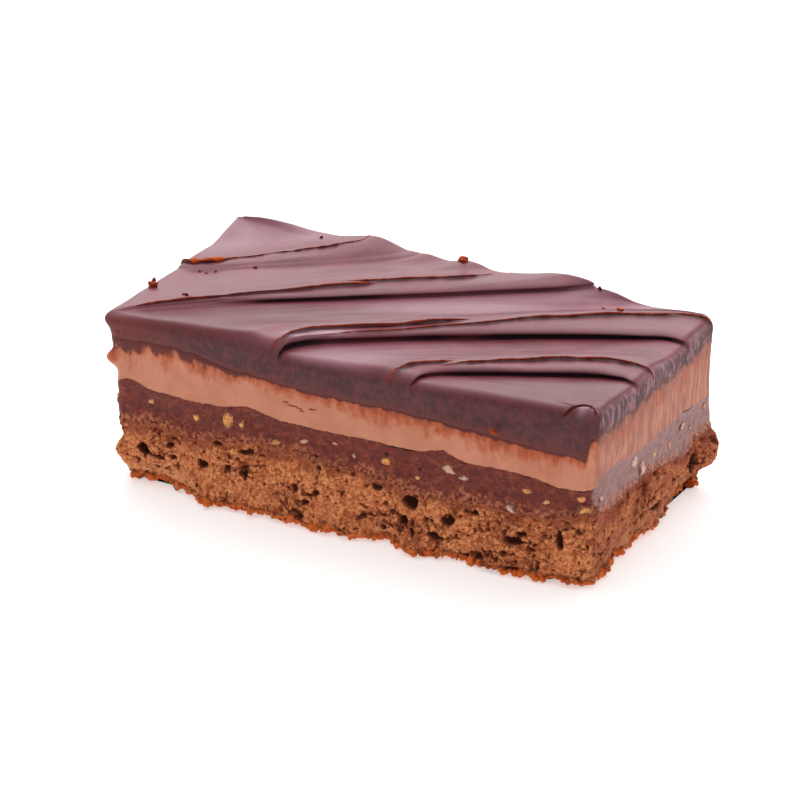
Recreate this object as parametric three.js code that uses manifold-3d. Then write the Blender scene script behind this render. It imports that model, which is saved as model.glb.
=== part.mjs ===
// A cut slice of praline cake: chocolate sponge, a praline layer with chopped nuts,
// praline cream, and a ganache top that a spatula has left in slanting folds.
//
// Millimetres, +Z up. X runs along the slice, -Y is the long cut face at the front,
// +X is the short cut face on the right. The origin is the middle of the base.

import * as THREE from 'three';
import { mergeVertices } from 'three/addons/utils/BufferGeometryUtils.js';
import Module from 'manifold-3d';

const wasm = await Module();
wasm.setup();

// ---------------------------------------------------------------- driving dimensions

const LENGTH = 100;
const WIDTH = 50;
const GIRTH = 2 * (LENGTH + WIDTH);
const CORNER_RADIUS = 2;
const LAYER_GAP = 0.3;
const STATION_SPACING = 2.4;
const CAP_INSET = 3;

// Places round the block are measured along the rim in mm, anticlockwise seen from above,
// from the front left corner: front 0 to 100, right 100 to 150, back 150 to 250, left 250 to 300.
const CORNERS = [0, LENGTH, LENGTH + WIDTH, 2 * LENGTH + WIDTH];
const QUARTER_TURN = Math.PI / 2;

// How far each corner of the cut block stands away from a true 100 x 50 rectangle, as [x, y],
// at the two heights given here.
const BLOCK_TOP = 34;
const CORNER_SHIFTS = {
  top: { frontLeft: [-0.9, -0.4], frontRight: [-1, 0.1], backRight: [1.6, -0.5], backLeft: [-1.7, 0.4] },
  bottom: { frontLeft: [1.4, -1.2], frontRight: [-1.2, -0.8], backRight: [2.6, 0.3], backLeft: [1.2, 0] },
};

// The sponge stands out past the true block, with rough relief and a broken foot.
const SPONGE = { out: 0.3, reliefDepth: 0.75, footHeight: 0.8, footInset: 1, footUnevenness: 0.5 };

// The sponge's front cut face bellies out towards its base.
const BELLY = { out: 1.3, top: 18 };

// The settled block's own middle, which is moved onto the origin.
const MIDDLE = { x: 1.05, y: -1.3 };

// Seams between the layers. Each has a level inside the block, and swells where the cut faces
// show it higher or lower: at = place along the rim, rise in mm, reach in mm.
const SEAMS = {
  spongeTop: {
    level: 12.6,
    ripple: 0.35,
    out: -0.1,
    swells: [
      { at: 14, rise: 0.9, reach: 9 },
      { at: 32, rise: 1.9, reach: 4 },
      { at: 39, rise: 1.2, reach: 6 },
      { at: 52, rise: 0.7, reach: 7 },
      { at: 68, rise: -1.3, reach: 9 },
      { at: 100, rise: 2.6, reach: 5 },
      { at: 121, rise: 1.6, reach: 8 },
      { at: 138, rise: -1.5, reach: 4 },
      { at: 172, rise: 1.2, reach: 8 },
      { at: 196, rise: -1.1, reach: 7 },
      { at: 222, rise: 1.4, reach: 9 },
      { at: 262, rise: 1.1, reach: 8 },
      { at: 284, rise: -0.8, reach: 6 },
    ],
  },
  pralineTop: {
    level: 19.7,
    ripple: 0.25,
    out: -0.3,
    swells: [
      { at: 4, rise: 1.8, reach: 4 },
      { at: 30, rise: 1.2, reach: 4 },
      { at: 70, rise: 1.1, reach: 3 },
      { at: 94, rise: -1.1, reach: 6 },
      { at: 108, rise: 1.4, reach: 5 },
      { at: 152, rise: -1.1, reach: 7 },
      { at: 178, rise: 1.1, reach: 7 },
      { at: 199, rise: -0.9, reach: 6 },
      { at: 225, rise: 1, reach: 8 },
      { at: 270, rise: 0.9, reach: 7 },
      { at: 289, rise: -0.6, reach: 5 },
    ],
  },
  creamTop: {
    level: 29.4,
    ripple: 0.3,
    out: 0,
    swells: [
      { at: 11, rise: 0.6, reach: 5 },
      { at: 111, rise: -0.5, reach: 6 },
      { at: 147, rise: 1.2, reach: 5 },
      { at: 186, rise: -0.9, reach: 9 },
      { at: 214, rise: 0.7, reach: 8 },
      { at: 266, rise: -0.8, reach: 7 },
    ],
  },
};

// The knife dragged the ganache down over the cream on the front face, more and more
// towards the right: the seam falls by `first` at the start and by `last` at the end.
const DRAG = { start: 18, full: 28, end: 99.4, first: 1.7, last: 4.2, release: 1.2 };

// The praline and the cream stand a little in or out between their seams.
const PRALINE = { out: -0.35, reliefDepth: 0.35 };
const CREAM = { reliefDepth: 0.25 };

// Lumps and hollows of the side faces: at and height place them, out is how far they stand
// out (or in, below zero), wide and tall are their reaches.
const SPONGE_LUMPS = [
  { at: 147, height: 7, out: 1.1, wide: 3.4, tall: 3.4 },
  { at: 299, height: 6.4, out: 1, wide: 3, tall: 1.8 },
  { at: 299, height: 10, out: -0.7, wide: 3, tall: 1.4 },
  { at: 0, height: 0, out: -2.4, wide: 5, tall: 3.2 },
  { at: 25, height: 1.4, out: 0.8, wide: 9, tall: 2.4 },
  { at: 66, height: 1.6, out: 0.4, wide: 20, tall: 2.4 },
  { at: 100, height: 0, out: -0.6, wide: 4.5, tall: 2 },
  { at: 117, height: 0, out: -1.7, wide: 17, tall: 6 },
  { at: 146, height: 0, out: -4.6, wide: 11, tall: 4.4 },
  { at: 10, height: 0, out: -3, wide: 6, tall: 5 },
  { at: 58.5, height: 0, out: -2.4, wide: 3.5, tall: 4 },
  { at: 73, height: 0, out: -1.5, wide: 3, tall: 3.5 },
];
const CREAM_LUMPS = [
  { at: 299, height: 24.9, out: 1.7, wide: 2.4, tall: 1.5 },
  { at: 299, height: 22, out: -0.3, wide: 3, tall: 1.4 },
];
const GANACHE_LUMPS = [
  { at: 299, height: 32.8, out: 1, wide: 3.4, tall: 1.5 },
  { at: 60, height: 31, out: 0.4, wide: 45, tall: 3 },
];

// Larger pores of the cut sponge: place, height, radius along the rim, radius up, depth.
const SPONGE_PORES = [
  { at: 6.2, height: 7.7, wide: 1.5, tall: 1.5, deep: 1.8 },
  { at: 19.5, height: 8, wide: 1.2, tall: 0.9, deep: 1.2 },
  { at: 40.2, height: 7.4, wide: 0.9, tall: 0.9, deep: 1.1 },
  { at: 64.2, height: 9.8, wide: 1.4, tall: 1.1, deep: 1.6 },
  { at: 71.9, height: 8.1, wide: 1.1, tall: 1.2, deep: 1.4 },
  { at: 85.4, height: 7, wide: 2, tall: 0.7, deep: 1.3 },
  { at: 94.2, height: 9, wide: 0.8, tall: 1.9, deep: 1.7 },
  { at: 142, height: 7.6, wide: 1, tall: 2.4, deep: 2 },
  { at: 126, height: 5.4, wide: 1.6, tall: 0.8, deep: 1.2 },
  { at: 171, height: 6.8, wide: 1.3, tall: 1, deep: 1.5 },
  { at: 197, height: 8.2, wide: 1, tall: 1.3, deep: 1.3 },
  { at: 221, height: 5.6, wide: 1.6, tall: 0.9, deep: 1.5 },
  { at: 268, height: 8, wide: 1.1, tall: 1.2, deep: 1.4 },
];

// Chopped nuts in the praline: the large pieces that stand in the cut faces, then small
// ones spread evenly by rule.
const LARGE_NUTS = [
  { at: 18.1, height: 16.4, size: 1.2 },
  { at: 25.5, height: 17.5, size: 1.8 },
  { at: 41.6, height: 16.3, size: 1.1 },
  { at: 58.7, height: 16.4, size: 1.4 },
  { at: 71.6, height: 17.6, size: 1.4 },
  { at: 86.9, height: 15.8, size: 1 },
  { at: 97.4, height: 17.1, size: 1.2 },
  { at: 115.9, height: 17.7, size: 1.4 },
  { at: 119.1, height: 16, size: 1.1 },
];
const SMALL_NUTS = { first: 128, count: 14, size: [0.8, 1.3], height: 16.2, spread: 1.2, seed: 11 };
const NUT_CLEARANCE = 0.7;

// The top edge is rounded: inset across the top, drop down the side, with rings at these
// shares of the quarter turn, and one more at a share of the wall's height.
const TOP_EDGE = { inset: 1.6, drop: 2, turns: [1, 0.56], wallShare: 0.35, foldKept: 0.3 };

// The ganache's top is built of curved rows that lie along the spatula strokes, from the
// near right corner to the far left corner. A guide gives the row at a distance `across`
// the strokes: where it ends, in mm along the rim from the near corner, to the left and to
// the right; the height of its ends; and how far it bows away. BOW_HOLD is the power that
// keeps the bow even over the row's length, up to its ends.
const GUIDES = [
  { across: -2.6, left: 0, right: 0, leftTop: 34.2, rightTop: 34.2, bow: 0 },
  { across: 0, left: 6.4, right: 2.6, leftTop: 34.1, rightTop: 34.1, bow: 0.8 },
  { across: 17.5, left: 40.5, right: 21.5, leftTop: 32.9, rightTop: 33.3, bow: 2 },
  { across: 35.3, left: 66.5, right: 46, leftTop: 33.3, rightTop: 33.1, bow: 3 },
  { across: 53.4, left: 102, right: 85, leftTop: 34.4, rightTop: 35.4, bow: 0 },
  { across: 71.2, left: 127.5, right: 120.5, leftTop: 34.2, rightTop: 36, bow: -1.6 },
  { across: 80, left: 138.5, right: 133.5, leftTop: 34.4, rightTop: 35.4, bow: -1 },
  { across: 90, left: 150, right: 150, leftTop: 37.1, rightTop: 37.1, bow: 0 },
];
const FIRST_ROW = -1.4;
const LAST_ROW = 88.4;
const CORNER_BLEND = 9;
const BOW_HOLD = 14;
const PLAIN_ROW_SPACING = 3.4;
const ROW_COLUMNS = 19;

// One fold, cut across the stroke from the near side: [across, up] in mm. The ganache dips
// into a crevice, rolls back over it as a round brow, and ends in a thin raised lip.
const FOLD_PROFILE = [
  [-1.4, 0],
  [-0.3, -0.12],
  [0.35, -0.25],
  [0.15, 0.4],
  [-0.42, 0.95],
  [-0.2, 1.5],
  [0.6, 1.88],
  [2, 2],
  [2.9, 1.94],
  [3.2, 2.55],
  [4.6, 2.4],
];
const LIP_ACROSS = 3.2;

// The folds: where the lip lies, how far the fold curls over, and its height and width as
// shares of the profile's, both at the shares of the fold's length that FOLD_PLACES gives.
const FOLD_PLACES = [0, 0.12, 0.5, 0.85, 1];
const FOLDS = [
  { lip: 17.5, curl: 1, heights: [0.65, 0.78, 0.84, 0.82, 0.5], widths: [0.75, 0.85, 1, 1.25, 1.5] },
  { lip: 35.3, curl: 1, heights: [1.1, 0.92, 0.94, 0.86, 0.55], widths: [0.8, 0.85, 1.2, 1.7, 1.9] },
  { lip: 53.4, curl: 0.9, heights: [0.1, 0.3, 0.56, 0.62, 0.75], widths: [0.7, 0.75, 1, 1.4, 1.8] },
  { lip: 71.2, curl: 0.1, heights: [0.2, 0.35, 0.45, 0.6, 0.75], widths: [0.6, 0.8, 1.4, 1.7, 1.7] },
];
const CURL_FADE = 0.06;

// Uneven rises of the top's back edge, as [across the strokes, up]. They fade away from that
// edge with the share of the row's length, taken to the power BACK_EDGE_HOLD.
const BACK_EDGE = [
  [36, 0], [38, 0.2], [44, 0.45], [46.7, 1.8], [48.5, 1.5], [52.5, 0.7], [53.5, 0], [56, -1.5],
  [58, -1.2], [59.5, 0], [60.9, 0.4], [62.3, 0], [65, 0.7], [67.5, -0.2], [70, 0.6], [74, -0.55],
  [78.4, 0], [83, 0.95], [86, 0.9], [88.4, 0.1],
];
const BACK_EDGE_HOLD = 10;

// ---------------------------------------------------------------- small helpers

function modulo(value, size) {
  return ((value % size) + size) % size;
}

function mix(from, to, share) {
  return from + (to - from) * share;
}

function clamp01(value) {
  return Math.min(1, Math.max(0, value));
}

function smooth(share) {
  const held = clamp01(share);
  return held * held * (3 - 2 * held);
}

// Straight-line reading of a table: positions rise, values belong to them.
function readTable(positions, values, position) {
  let next = 1;
  while (next < positions.length - 1 && positions[next] < position) {
    next += 1;
  }
  const share = (position - positions[next - 1]) / (positions[next] - positions[next - 1]);
  return mix(values[next - 1], values[next], clamp01(share));
}

// A seeded source of even random numbers from 0 to 1.
function seededRandom(seed) {
  let state = seed >>> 0;
  return () => {
    state = (state + 0x6d2b79f5) >>> 0;
    let mixed = Math.imul(state ^ (state >>> 15), state | 1);
    mixed ^= mixed + Math.imul(mixed ^ (mixed >>> 7), mixed | 61);
    return ((mixed ^ (mixed >>> 14)) >>> 0) / 4294967296;
  };
}

// Uneven relief that closes on itself round the rim: a sum of waves with whole numbers of
// periods round the girth, between the longest and the shortest wavelength.
function makeRipples(seed, waves, longest, shortest) {
  const random = seededRandom(seed);
  const parts = [];
  for (let wave = 0; wave < waves; wave += 1) {
    const length = mix(longest, shortest, wave / (waves - 1));
    parts.push({
      turns: Math.max(1, Math.round(GIRTH / length)),
      rise: (random() - 0.5) * 2 / length,
      phase: random() * 2 * Math.PI,
      size: Math.sqrt(length / longest),
    });
  }
  const total = Math.sqrt(parts.reduce((sum, part) => sum + part.size ** 2, 0) / 2);
  return (along, height) => {
    let sum = 0;
    for (const part of parts) {
      const turn = (part.turns * along) / GIRTH + part.rise * height;
      sum += part.size * Math.sin(2 * Math.PI * turn + part.phase);
    }
    return sum / total / 2;
  };
}

// The shorter way round the rim between two places.
function alongDistance(first, second) {
  const ahead = modulo(first - second, GIRTH);
  return Math.min(ahead, GIRTH - ahead);
}

function sumOfLumps(lumps, along, height) {
  let out = 0;
  for (const lump of lumps) {
    const sideways = alongDistance(along, lump.at) / lump.wide;
    const upward = (height - lump.height) / lump.tall;
    out += lump.out * Math.exp(-(sideways ** 2) - upward ** 2);
  }
  return out;
}

// ---------------------------------------------------------------- the block's outline

// A place on the rim: the side it is on, and the direction that points out of the block.
// A corner's arc takes one radius of the rim on each side of the corner.
function rimDirection(along) {
  const place = modulo(along, GIRTH);
  let side = 3;
  while (CORNERS[side] > place) {
    side -= 1;
  }
  const fromStart = place - CORNERS[side];
  const toEnd = (side < 3 ? CORNERS[side + 1] : GIRTH) - place;
  let turn = side - 1;
  if (fromStart < CORNER_RADIUS) {
    turn -= 0.5 * (1 - fromStart / CORNER_RADIUS);
  } else if (toEnd < CORNER_RADIUS) {
    turn += 0.5 * (1 - toEnd / CORNER_RADIUS);
  }
  return { side, fromStart, toEnd, angle: turn * QUARTER_TURN };
}

// The plan position of a place on the rim, moved outwards by `out`.
function rimPoint(along, out) {
  const { side, fromStart, toEnd, angle } = rimDirection(along);
  const across = [Math.cos(angle), Math.sin(angle)];
  const halfX = LENGTH / 2 - CORNER_RADIUS;
  const halfY = WIDTH / 2 - CORNER_RADIUS;
  const sideLength = side % 2 === 0 ? LENGTH : WIDTH;
  const straight = Math.min(Math.max(fromStart, CORNER_RADIUS), sideLength - CORNER_RADIUS);
  const onArc = fromStart < CORNER_RADIUS || toEnd < CORNER_RADIUS;
  const run = straight - sideLength / 2;
  const centres = [[run, -halfY], [halfX, run], [-run, halfY], [-halfX, -run]];
  const centre = centres[side];
  if (onArc) {
    centre[0] = Math.sign(centre[0]) * halfX;
    centre[1] = Math.sign(centre[1]) * halfY;
  }
  const reach = CORNER_RADIUS + out;
  return [centre[0] + reach * across[0], centre[1] + reach * across[1]];
}

// Moves a point of the true block to where the cut and settled cake has it.
function settle(x, y, z) {
  const right = clamp01(x / LENGTH + 0.5);
  const back = clamp01(y / WIDTH + 0.5);
  const up = z / BLOCK_TOP;
  const shift = [0, 1].map((axis) => {
    const levels = [CORNER_SHIFTS.bottom, CORNER_SHIFTS.top].map((level) => {
      const front = mix(level.frontLeft[axis], level.frontRight[axis], right);
      const rear = mix(level.backLeft[axis], level.backRight[axis], right);
      return mix(front, rear, back);
    });
    return mix(levels[0], levels[1], up);
  });
  const belly = BELLY.out * smooth(1 - z / BELLY.top) * Math.sin(Math.PI * right) * (1 - back);
  return [x + shift[0] - MIDDLE.x, y + shift[1] - belly - MIDDLE.y, z];
}

function settledRim(along, out, height) {
  const [x, y] = rimPoint(along, out);
  return settle(x, y, height);
}

// The places round the rim that every layer shares.
function makeStations() {
  const stations = [];
  const arc = [-1, -1 / 3, 1 / 3, 1];
  CORNERS.forEach((corner, side) => {
    arc.forEach((share) => stations.push(modulo(corner + share * CORNER_RADIUS, GIRTH)));
    const sideLength = side % 2 === 0 ? LENGTH : WIDTH;
    const straight = sideLength - 2 * CORNER_RADIUS;
    const steps = Math.round(straight / STATION_SPACING);
    for (let step = 1; step < steps; step += 1) {
      stations.push(corner + CORNER_RADIUS + (straight * step) / steps);
    }
  });
  return stations.sort((first, second) => first - second);
}

const STATIONS = makeStations();

// ---------------------------------------------------------------- closed shells

class Shell {
  constructor() {
    this.points = [];
    this.faces = [];
  }

  add(point) {
    this.points.push(point);
    return this.points.length - 1;
  }

  ring(points) {
    return points.map((point) => this.add(point));
  }

  // A band between two rings of the same stations, outside faces outwards.
  band(low, high) {
    for (let index = 0; index < low.length; index += 1) {
      const next = (index + 1) % low.length;
      this.faces.push([low[index], low[next], high[next]]);
      this.faces.push([low[index], high[next], high[index]]);
    }
  }

  // A band between two rings whose stations differ.
  stitch(low, lowAlong, high, highAlong) {
    let lowAt = 0;
    let highAt = 0;
    const reading = (along, index) => along[index % along.length] + (index >= along.length ? GIRTH : 0);
    while (lowAt < low.length || highAt < high.length) {
      const lowNext = lowAt < low.length ? reading(lowAlong, lowAt + 1) : Infinity;
      const highNext = highAt < high.length ? reading(highAlong, highAt + 1) : Infinity;
      const lowIndex = low[lowAt % low.length];
      const highIndex = high[highAt % high.length];
      if (lowNext <= highNext) {
        this.faces.push([lowIndex, low[(lowAt + 1) % low.length], highIndex]);
        lowAt += 1;
      } else {
        this.faces.push([lowIndex, high[(highAt + 1) % high.length], highIndex]);
        highAt += 1;
      }
    }
  }

  // Closes a ring at the top or the bottom by way of an inner ring at an even height.
  cap(ring, level, facingUp) {
    const shrinkX = 1 - CAP_INSET / (LENGTH / 2);
    const shrinkY = 1 - CAP_INSET / (WIDTH / 2);
    const inner = this.ring(STATIONS.map((along) => {
      const [x, y] = rimPoint(along, 0);
      return settle(x * shrinkX, y * shrinkY, level);
    }));
    const centre = this.add(settle(0, 0, level));
    for (let index = 0; index < ring.length; index += 1) {
      const next = (index + 1) % ring.length;
      const triangles = [
        [ring[index], ring[next], inner[next]],
        [ring[index], inner[next], inner[index]],
        [inner[index], inner[next], centre],
      ];
      triangles.forEach((face) => this.faces.push(facingUp ? face : face.reverse()));
    }
  }

  solid() {
    const vertProperties = new Float32Array(this.points.flat());
    const triVerts = new Uint32Array(this.faces.flat());
    return new wasm.Manifold(new wasm.Mesh({ numProp: 3, vertProperties, triVerts }));
  }
}

// A three.js geometry as a solid, placed by a matrix.
function solidFromGeometry(geometry, matrix) {
  const bare = geometry.clone();
  bare.deleteAttribute('normal');
  bare.deleteAttribute('uv');
  const merged = mergeVertices(bare, 1e-4);
  merged.applyMatrix4(matrix);
  const vertProperties = new Float32Array(merged.attributes.position.array);
  const triVerts = new Uint32Array(merged.index.array);
  return new wasm.Manifold(new wasm.Mesh({ numProp: 3, vertProperties, triVerts }));
}

// ---------------------------------------------------------------- seams between layers

const SEAM_RIPPLES = makeRipples(3, 5, 60, 16);

function seamHeight(seam, along) {
  let height = seam.level + seam.ripple * SEAM_RIPPLES(along, seam.level * 5);
  for (const swell of seam.swells) {
    height += swell.rise * Math.exp(-((alongDistance(along, swell.at) / swell.reach) ** 2));
  }
  if (seam === SEAMS.creamTop) {
    const begun = smooth((along - DRAG.start) / (DRAG.full - DRAG.start));
    const ended = smooth((DRAG.end - along) / DRAG.release);
    const drop = mix(DRAG.first, DRAG.last, clamp01((along - DRAG.full) / (DRAG.end - DRAG.full)));
    height -= begun * ended * drop;
  }
  return height;
}

// A side wall of even rings between two seams. `outAt(along, height, share)` is how far the
// wall stands out, on top of a steady run from the lower seam's place to the upper's.
function wallRings(shell, low, high, shares, outAt) {
  return shares.map((share) => shell.ring(STATIONS.map((along) => {
    const bottom = seamHeight(low, along) + LAYER_GAP / 2;
    const top = seamHeight(high, along) - LAYER_GAP / 2;
    const height = mix(bottom, top, share);
    const freedom = Math.sin(Math.PI * share);
    const out = mix(low.out, high.out, share) + freedom * outAt(along, height);
    return settledRim(along, out, height);
  })));
}

function bandAll(shell, rings) {
  for (let index = 1; index < rings.length; index += 1) {
    shell.band(rings[index - 1], rings[index]);
  }
}

// ---------------------------------------------------------------- sponge

const SPONGE_RELIEF = makeRipples(21, 9, 24, 6.5);
const FOOT_RELIEF = makeRipples(22, 7, 18, 5.5);

function spongeOut(along, height) {
  const relief = SPONGE.reliefDepth * SPONGE_RELIEF(along, height);
  return SPONGE.out + relief + sumOfLumps(SPONGE_LUMPS, along, height);
}

// The crumb is rough down to a broken foot; it runs into the seam above smoothly.
function spongeShell() {
  const shell = new Shell();
  const seam = SEAMS.spongeTop;
  const base = shell.ring(STATIONS.map((along) => {
    const inset = SPONGE.footInset * (1 + SPONGE.footUnevenness * FOOT_RELIEF(along, 0));
    return settledRim(along, spongeOut(along, 0) - inset, 0);
  }));
  const shares = [0, 0.16, 0.32, 0.5, 0.68, 0.84, 1];
  const rings = shares.map((share) => shell.ring(STATIONS.map((along) => {
    const foot = SPONGE.footHeight * (1 + SPONGE.footUnevenness * FOOT_RELIEF(along, seam.level));
    const height = mix(foot, seamHeight(seam, along) - LAYER_GAP / 2, share);
    const out = mix(spongeOut(along, height), seam.out, smooth((share - 0.7) / 0.3));
    return settledRim(along, out, height);
  })));
  bandAll(shell, [base, ...rings]);
  shell.cap(base, 0, false);
  shell.cap(rings.at(-1), seam.level - LAYER_GAP / 2, true);
  return shell;
}

// A many-sided ball with its own three radii, sunk to a depth into a side face.
function sideBall(at, height, radii, depth, turn) {
  const { angle } = rimDirection(at);
  const [x, y, z] = settledRim(at, -depth, height);
  const place = new THREE.Matrix4().makeTranslation(x, y, z);
  place.multiply(new THREE.Matrix4().makeRotationZ(angle));
  place.multiply(new THREE.Matrix4().makeRotationX(turn));
  place.multiply(new THREE.Matrix4().makeScale(...radii));
  return solidFromGeometry(new THREE.IcosahedronGeometry(1, 0), place);
}

function makeSponge() {
  let solid = spongeShell().solid();
  SPONGE_PORES.forEach((pore) => {
    const radii = [pore.deep, pore.wide, pore.tall];
    solid = solid.subtract(sideBall(pore.at, pore.height, radii, 0, 0));
  });
  return solid;
}

// ---------------------------------------------------------------- praline

const PRALINE_RELIEF = makeRipples(31, 7, 28, 8);

function makePraline() {
  const shell = new Shell();
  const outAt = (along, height) => PRALINE.out + PRALINE.reliefDepth * PRALINE_RELIEF(along, height);
  const rings = wallRings(shell, SEAMS.spongeTop, SEAMS.pralineTop, [0, 0.25, 0.75, 1], outAt);
  bandAll(shell, rings);
  shell.cap(rings[0], SEAMS.spongeTop.level + LAYER_GAP / 2, false);
  shell.cap(rings.at(-1), SEAMS.pralineTop.level - LAYER_GAP / 2, true);
  let solid = shell.solid();
  nutPlaces().forEach((nut) => {
    solid = solid.add(sideBall(nut.at, nut.height, nut.radii, nut.depth, nut.turn));
  });
  return solid;
}

// Every nut keeps clear of the seams above and below it.
function nutPlaces() {
  const random = seededRandom(SMALL_NUTS.seed);
  const places = LARGE_NUTS.map((nut) => ({ ...nut }));
  const step = (GIRTH - SMALL_NUTS.first) / SMALL_NUTS.count;
  for (let index = 0; index < SMALL_NUTS.count; index += 1) {
    const at = SMALL_NUTS.first + step * (index + 0.2 + 0.6 * random());
    const size = mix(SMALL_NUTS.size[0], SMALL_NUTS.size[1], random());
    const height = SMALL_NUTS.height + SMALL_NUTS.spread * (2 * random() - 1);
    places.push({ at, height, size });
  }
  return places.map((nut) => {
    const radii = [0.8, 0.8 + 0.4 * random(), 0.6 + 0.3 * random()].map((share) => share * nut.size);
    const clear = Math.max(...radii) + NUT_CLEARANCE;
    const floor = seamHeight(SEAMS.spongeTop, nut.at) + clear;
    const ceiling = seamHeight(SEAMS.pralineTop, nut.at) - clear;
    const height = Math.min(Math.max(nut.height, floor), ceiling);
    return { at: nut.at, height, radii, depth: 0.3 + 0.4 * nut.size, turn: 3 * random() };
  });
}

// ---------------------------------------------------------------- cream

const CREAM_RELIEF = makeRipples(41, 6, 50, 14);

function makeCream() {
  const shell = new Shell();
  const outAt = (along, height) => {
    return CREAM.reliefDepth * CREAM_RELIEF(along, height) + sumOfLumps(CREAM_LUMPS, along, height);
  };
  const rings = wallRings(shell, SEAMS.pralineTop, SEAMS.creamTop, [0, 0.3, 0.6, 1], outAt);
  bandAll(shell, rings);
  shell.cap(rings[0], SEAMS.pralineTop.level + LAYER_GAP / 2, false);
  shell.cap(rings.at(-1), SEAMS.creamTop.level - LAYER_GAP / 2, true);
  return shell.solid();
}

// ---------------------------------------------------------------- ganache

const GUIDE_ACROSS = GUIDES.map((guide) => guide.across);
const BACK_EDGE_ACROSS = BACK_EDGE.map(([across]) => across);
const BACK_EDGE_RISE = BACK_EDGE.map(([, up]) => up);

function guideValue(name, across) {
  return readTable(GUIDE_ACROSS, GUIDES.map((guide) => guide[name]), across);
}

// The plan position on the row at `across`, at a share t of its way from left to right.
// Next to the two corners the rows lean over into the rounded outline itself.
function rowPoint(across, t) {
  const leftAlong = LENGTH - guideValue('left', across);
  const rightAlong = LENGTH + guideValue('right', across);
  const start = rimPoint(leftAlong, -TOP_EDGE.inset);
  const end = rimPoint(rightAlong, -TOP_EDGE.inset);
  const chord = [end[0] - start[0], end[1] - start[1]];
  const size = Math.hypot(chord[0], chord[1]);
  const bow = guideValue('bow', across) * (1 - (2 * t - 1) ** BOW_HOLD);
  const x = start[0] + t * chord[0] - (bow * chord[1]) / size;
  const y = start[1] + t * chord[1] + (bow * chord[0]) / size;
  const near = clamp01(1 - (across - FIRST_ROW) / CORNER_BLEND) ** 2;
  const far = clamp01(1 - (LAST_ROW - across) / CORNER_BLEND) ** 2;
  const nearArc = rimPoint(mix(leftAlong, rightAlong, t), -TOP_EDGE.inset);
  const farArc = rimPoint(mix(leftAlong + GIRTH, rightAlong, t), -TOP_EDGE.inset);
  return [
    x + near * (nearArc[0] - x) + far * (farArc[0] - x),
    y + near * (nearArc[1] - y) + far * (farArc[1] - y),
  ];
}

function foldHeight(fold, t) {
  return readTable(FOLD_PLACES, fold.heights, t);
}

// The distance across the strokes of a place on a fold's profile, at a share t of its length.
function acrossFold(fold, profileAcross, t) {
  return fold.lip + (profileAcross - LIP_ACROSS) * readTable(FOLD_PLACES, fold.widths, t);
}

// The profile's points spread by their distance along it, as a plain row without a curl.
function spreadProfile() {
  const first = FOLD_PROFILE[0];
  const last = FOLD_PROFILE.at(-1);
  const runs = [0];
  for (let index = 1; index < FOLD_PROFILE.length; index += 1) {
    const [across, up] = FOLD_PROFILE[index];
    const [acrossBefore, upBefore] = FOLD_PROFILE[index - 1];
    runs.push(runs.at(-1) + Math.hypot(across - acrossBefore, up - upBefore));
  }
  return runs.map((run) => mix(first[0], last[0], run / runs.at(-1)));
}

// Rows at even steps between two places, which fall away from the height `crest`. The row at
// the first place is left out, and the one at the last place unless `toEnd` asks for it.
function plainRows(beginAt, endAt, crest, fold, toEnd) {
  const rows = [];
  const steps = Math.ceil((endAt(0.5) - beginAt(0.5)) / PLAIN_ROW_SPACING);
  const stop = toEnd ? steps + 1 : steps;
  for (let step = 1; step < stop; step += 1) {
    const share = step / steps;
    const acrossAt = (t) => mix(beginAt(t), endAt(t), share);
    rows.push({ acrossAt, shiftAt: () => 0, lift: crest * (1 - share) ** 1.4, fold });
  }
  return rows;
}

// All rows from near to far. A row has its place across the strokes at a share t of its
// length, how far the curl carries it over there, and its height on a fold of full size.
// Past a fold the ganache falls away to the next one.
function makeRows() {
  const spread = spreadProfile();
  const foot = spread[0];
  const shoulder = spread.at(-1);
  const nearest = () => FIRST_ROW;
  const rows = [{ acrossAt: nearest, shiftAt: () => 0, lift: 0, fold: FOLDS[0] }];
  rows.push(...plainRows(nearest, (t) => acrossFold(FOLDS[0], foot, t), 0, FOLDS[0], false));
  FOLDS.forEach((fold, number) => {
    FOLD_PROFILE.forEach(([across, up], index) => {
      rows.push({
        acrossAt: (t) => acrossFold(fold, spread[index], t),
        shiftAt: (t) => fold.curl * (acrossFold(fold, across, t) - acrossFold(fold, spread[index], t)),
        lift: up,
        fold,
      });
    });
    const nextFold = FOLDS[number + 1];
    const beginAt = (t) => acrossFold(fold, shoulder, t);
    const endAt = nextFold ? (t) => acrossFold(nextFold, foot, t) : () => LAST_ROW;
    rows.push(...plainRows(beginAt, endAt, FOLD_PROFILE.at(-1)[1], fold, !nextFold));
  });
  return rows;
}

// Shares of the way along a row, closer together towards its ends.
function rowShares() {
  const shares = [];
  for (let column = 0; column < ROW_COLUMNS; column += 1) {
    const even = column / (ROW_COLUMNS - 1);
    shares.push(mix(even, 0.5 - 0.5 * Math.cos(Math.PI * even), 0.6));
  }
  return shares;
}

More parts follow.
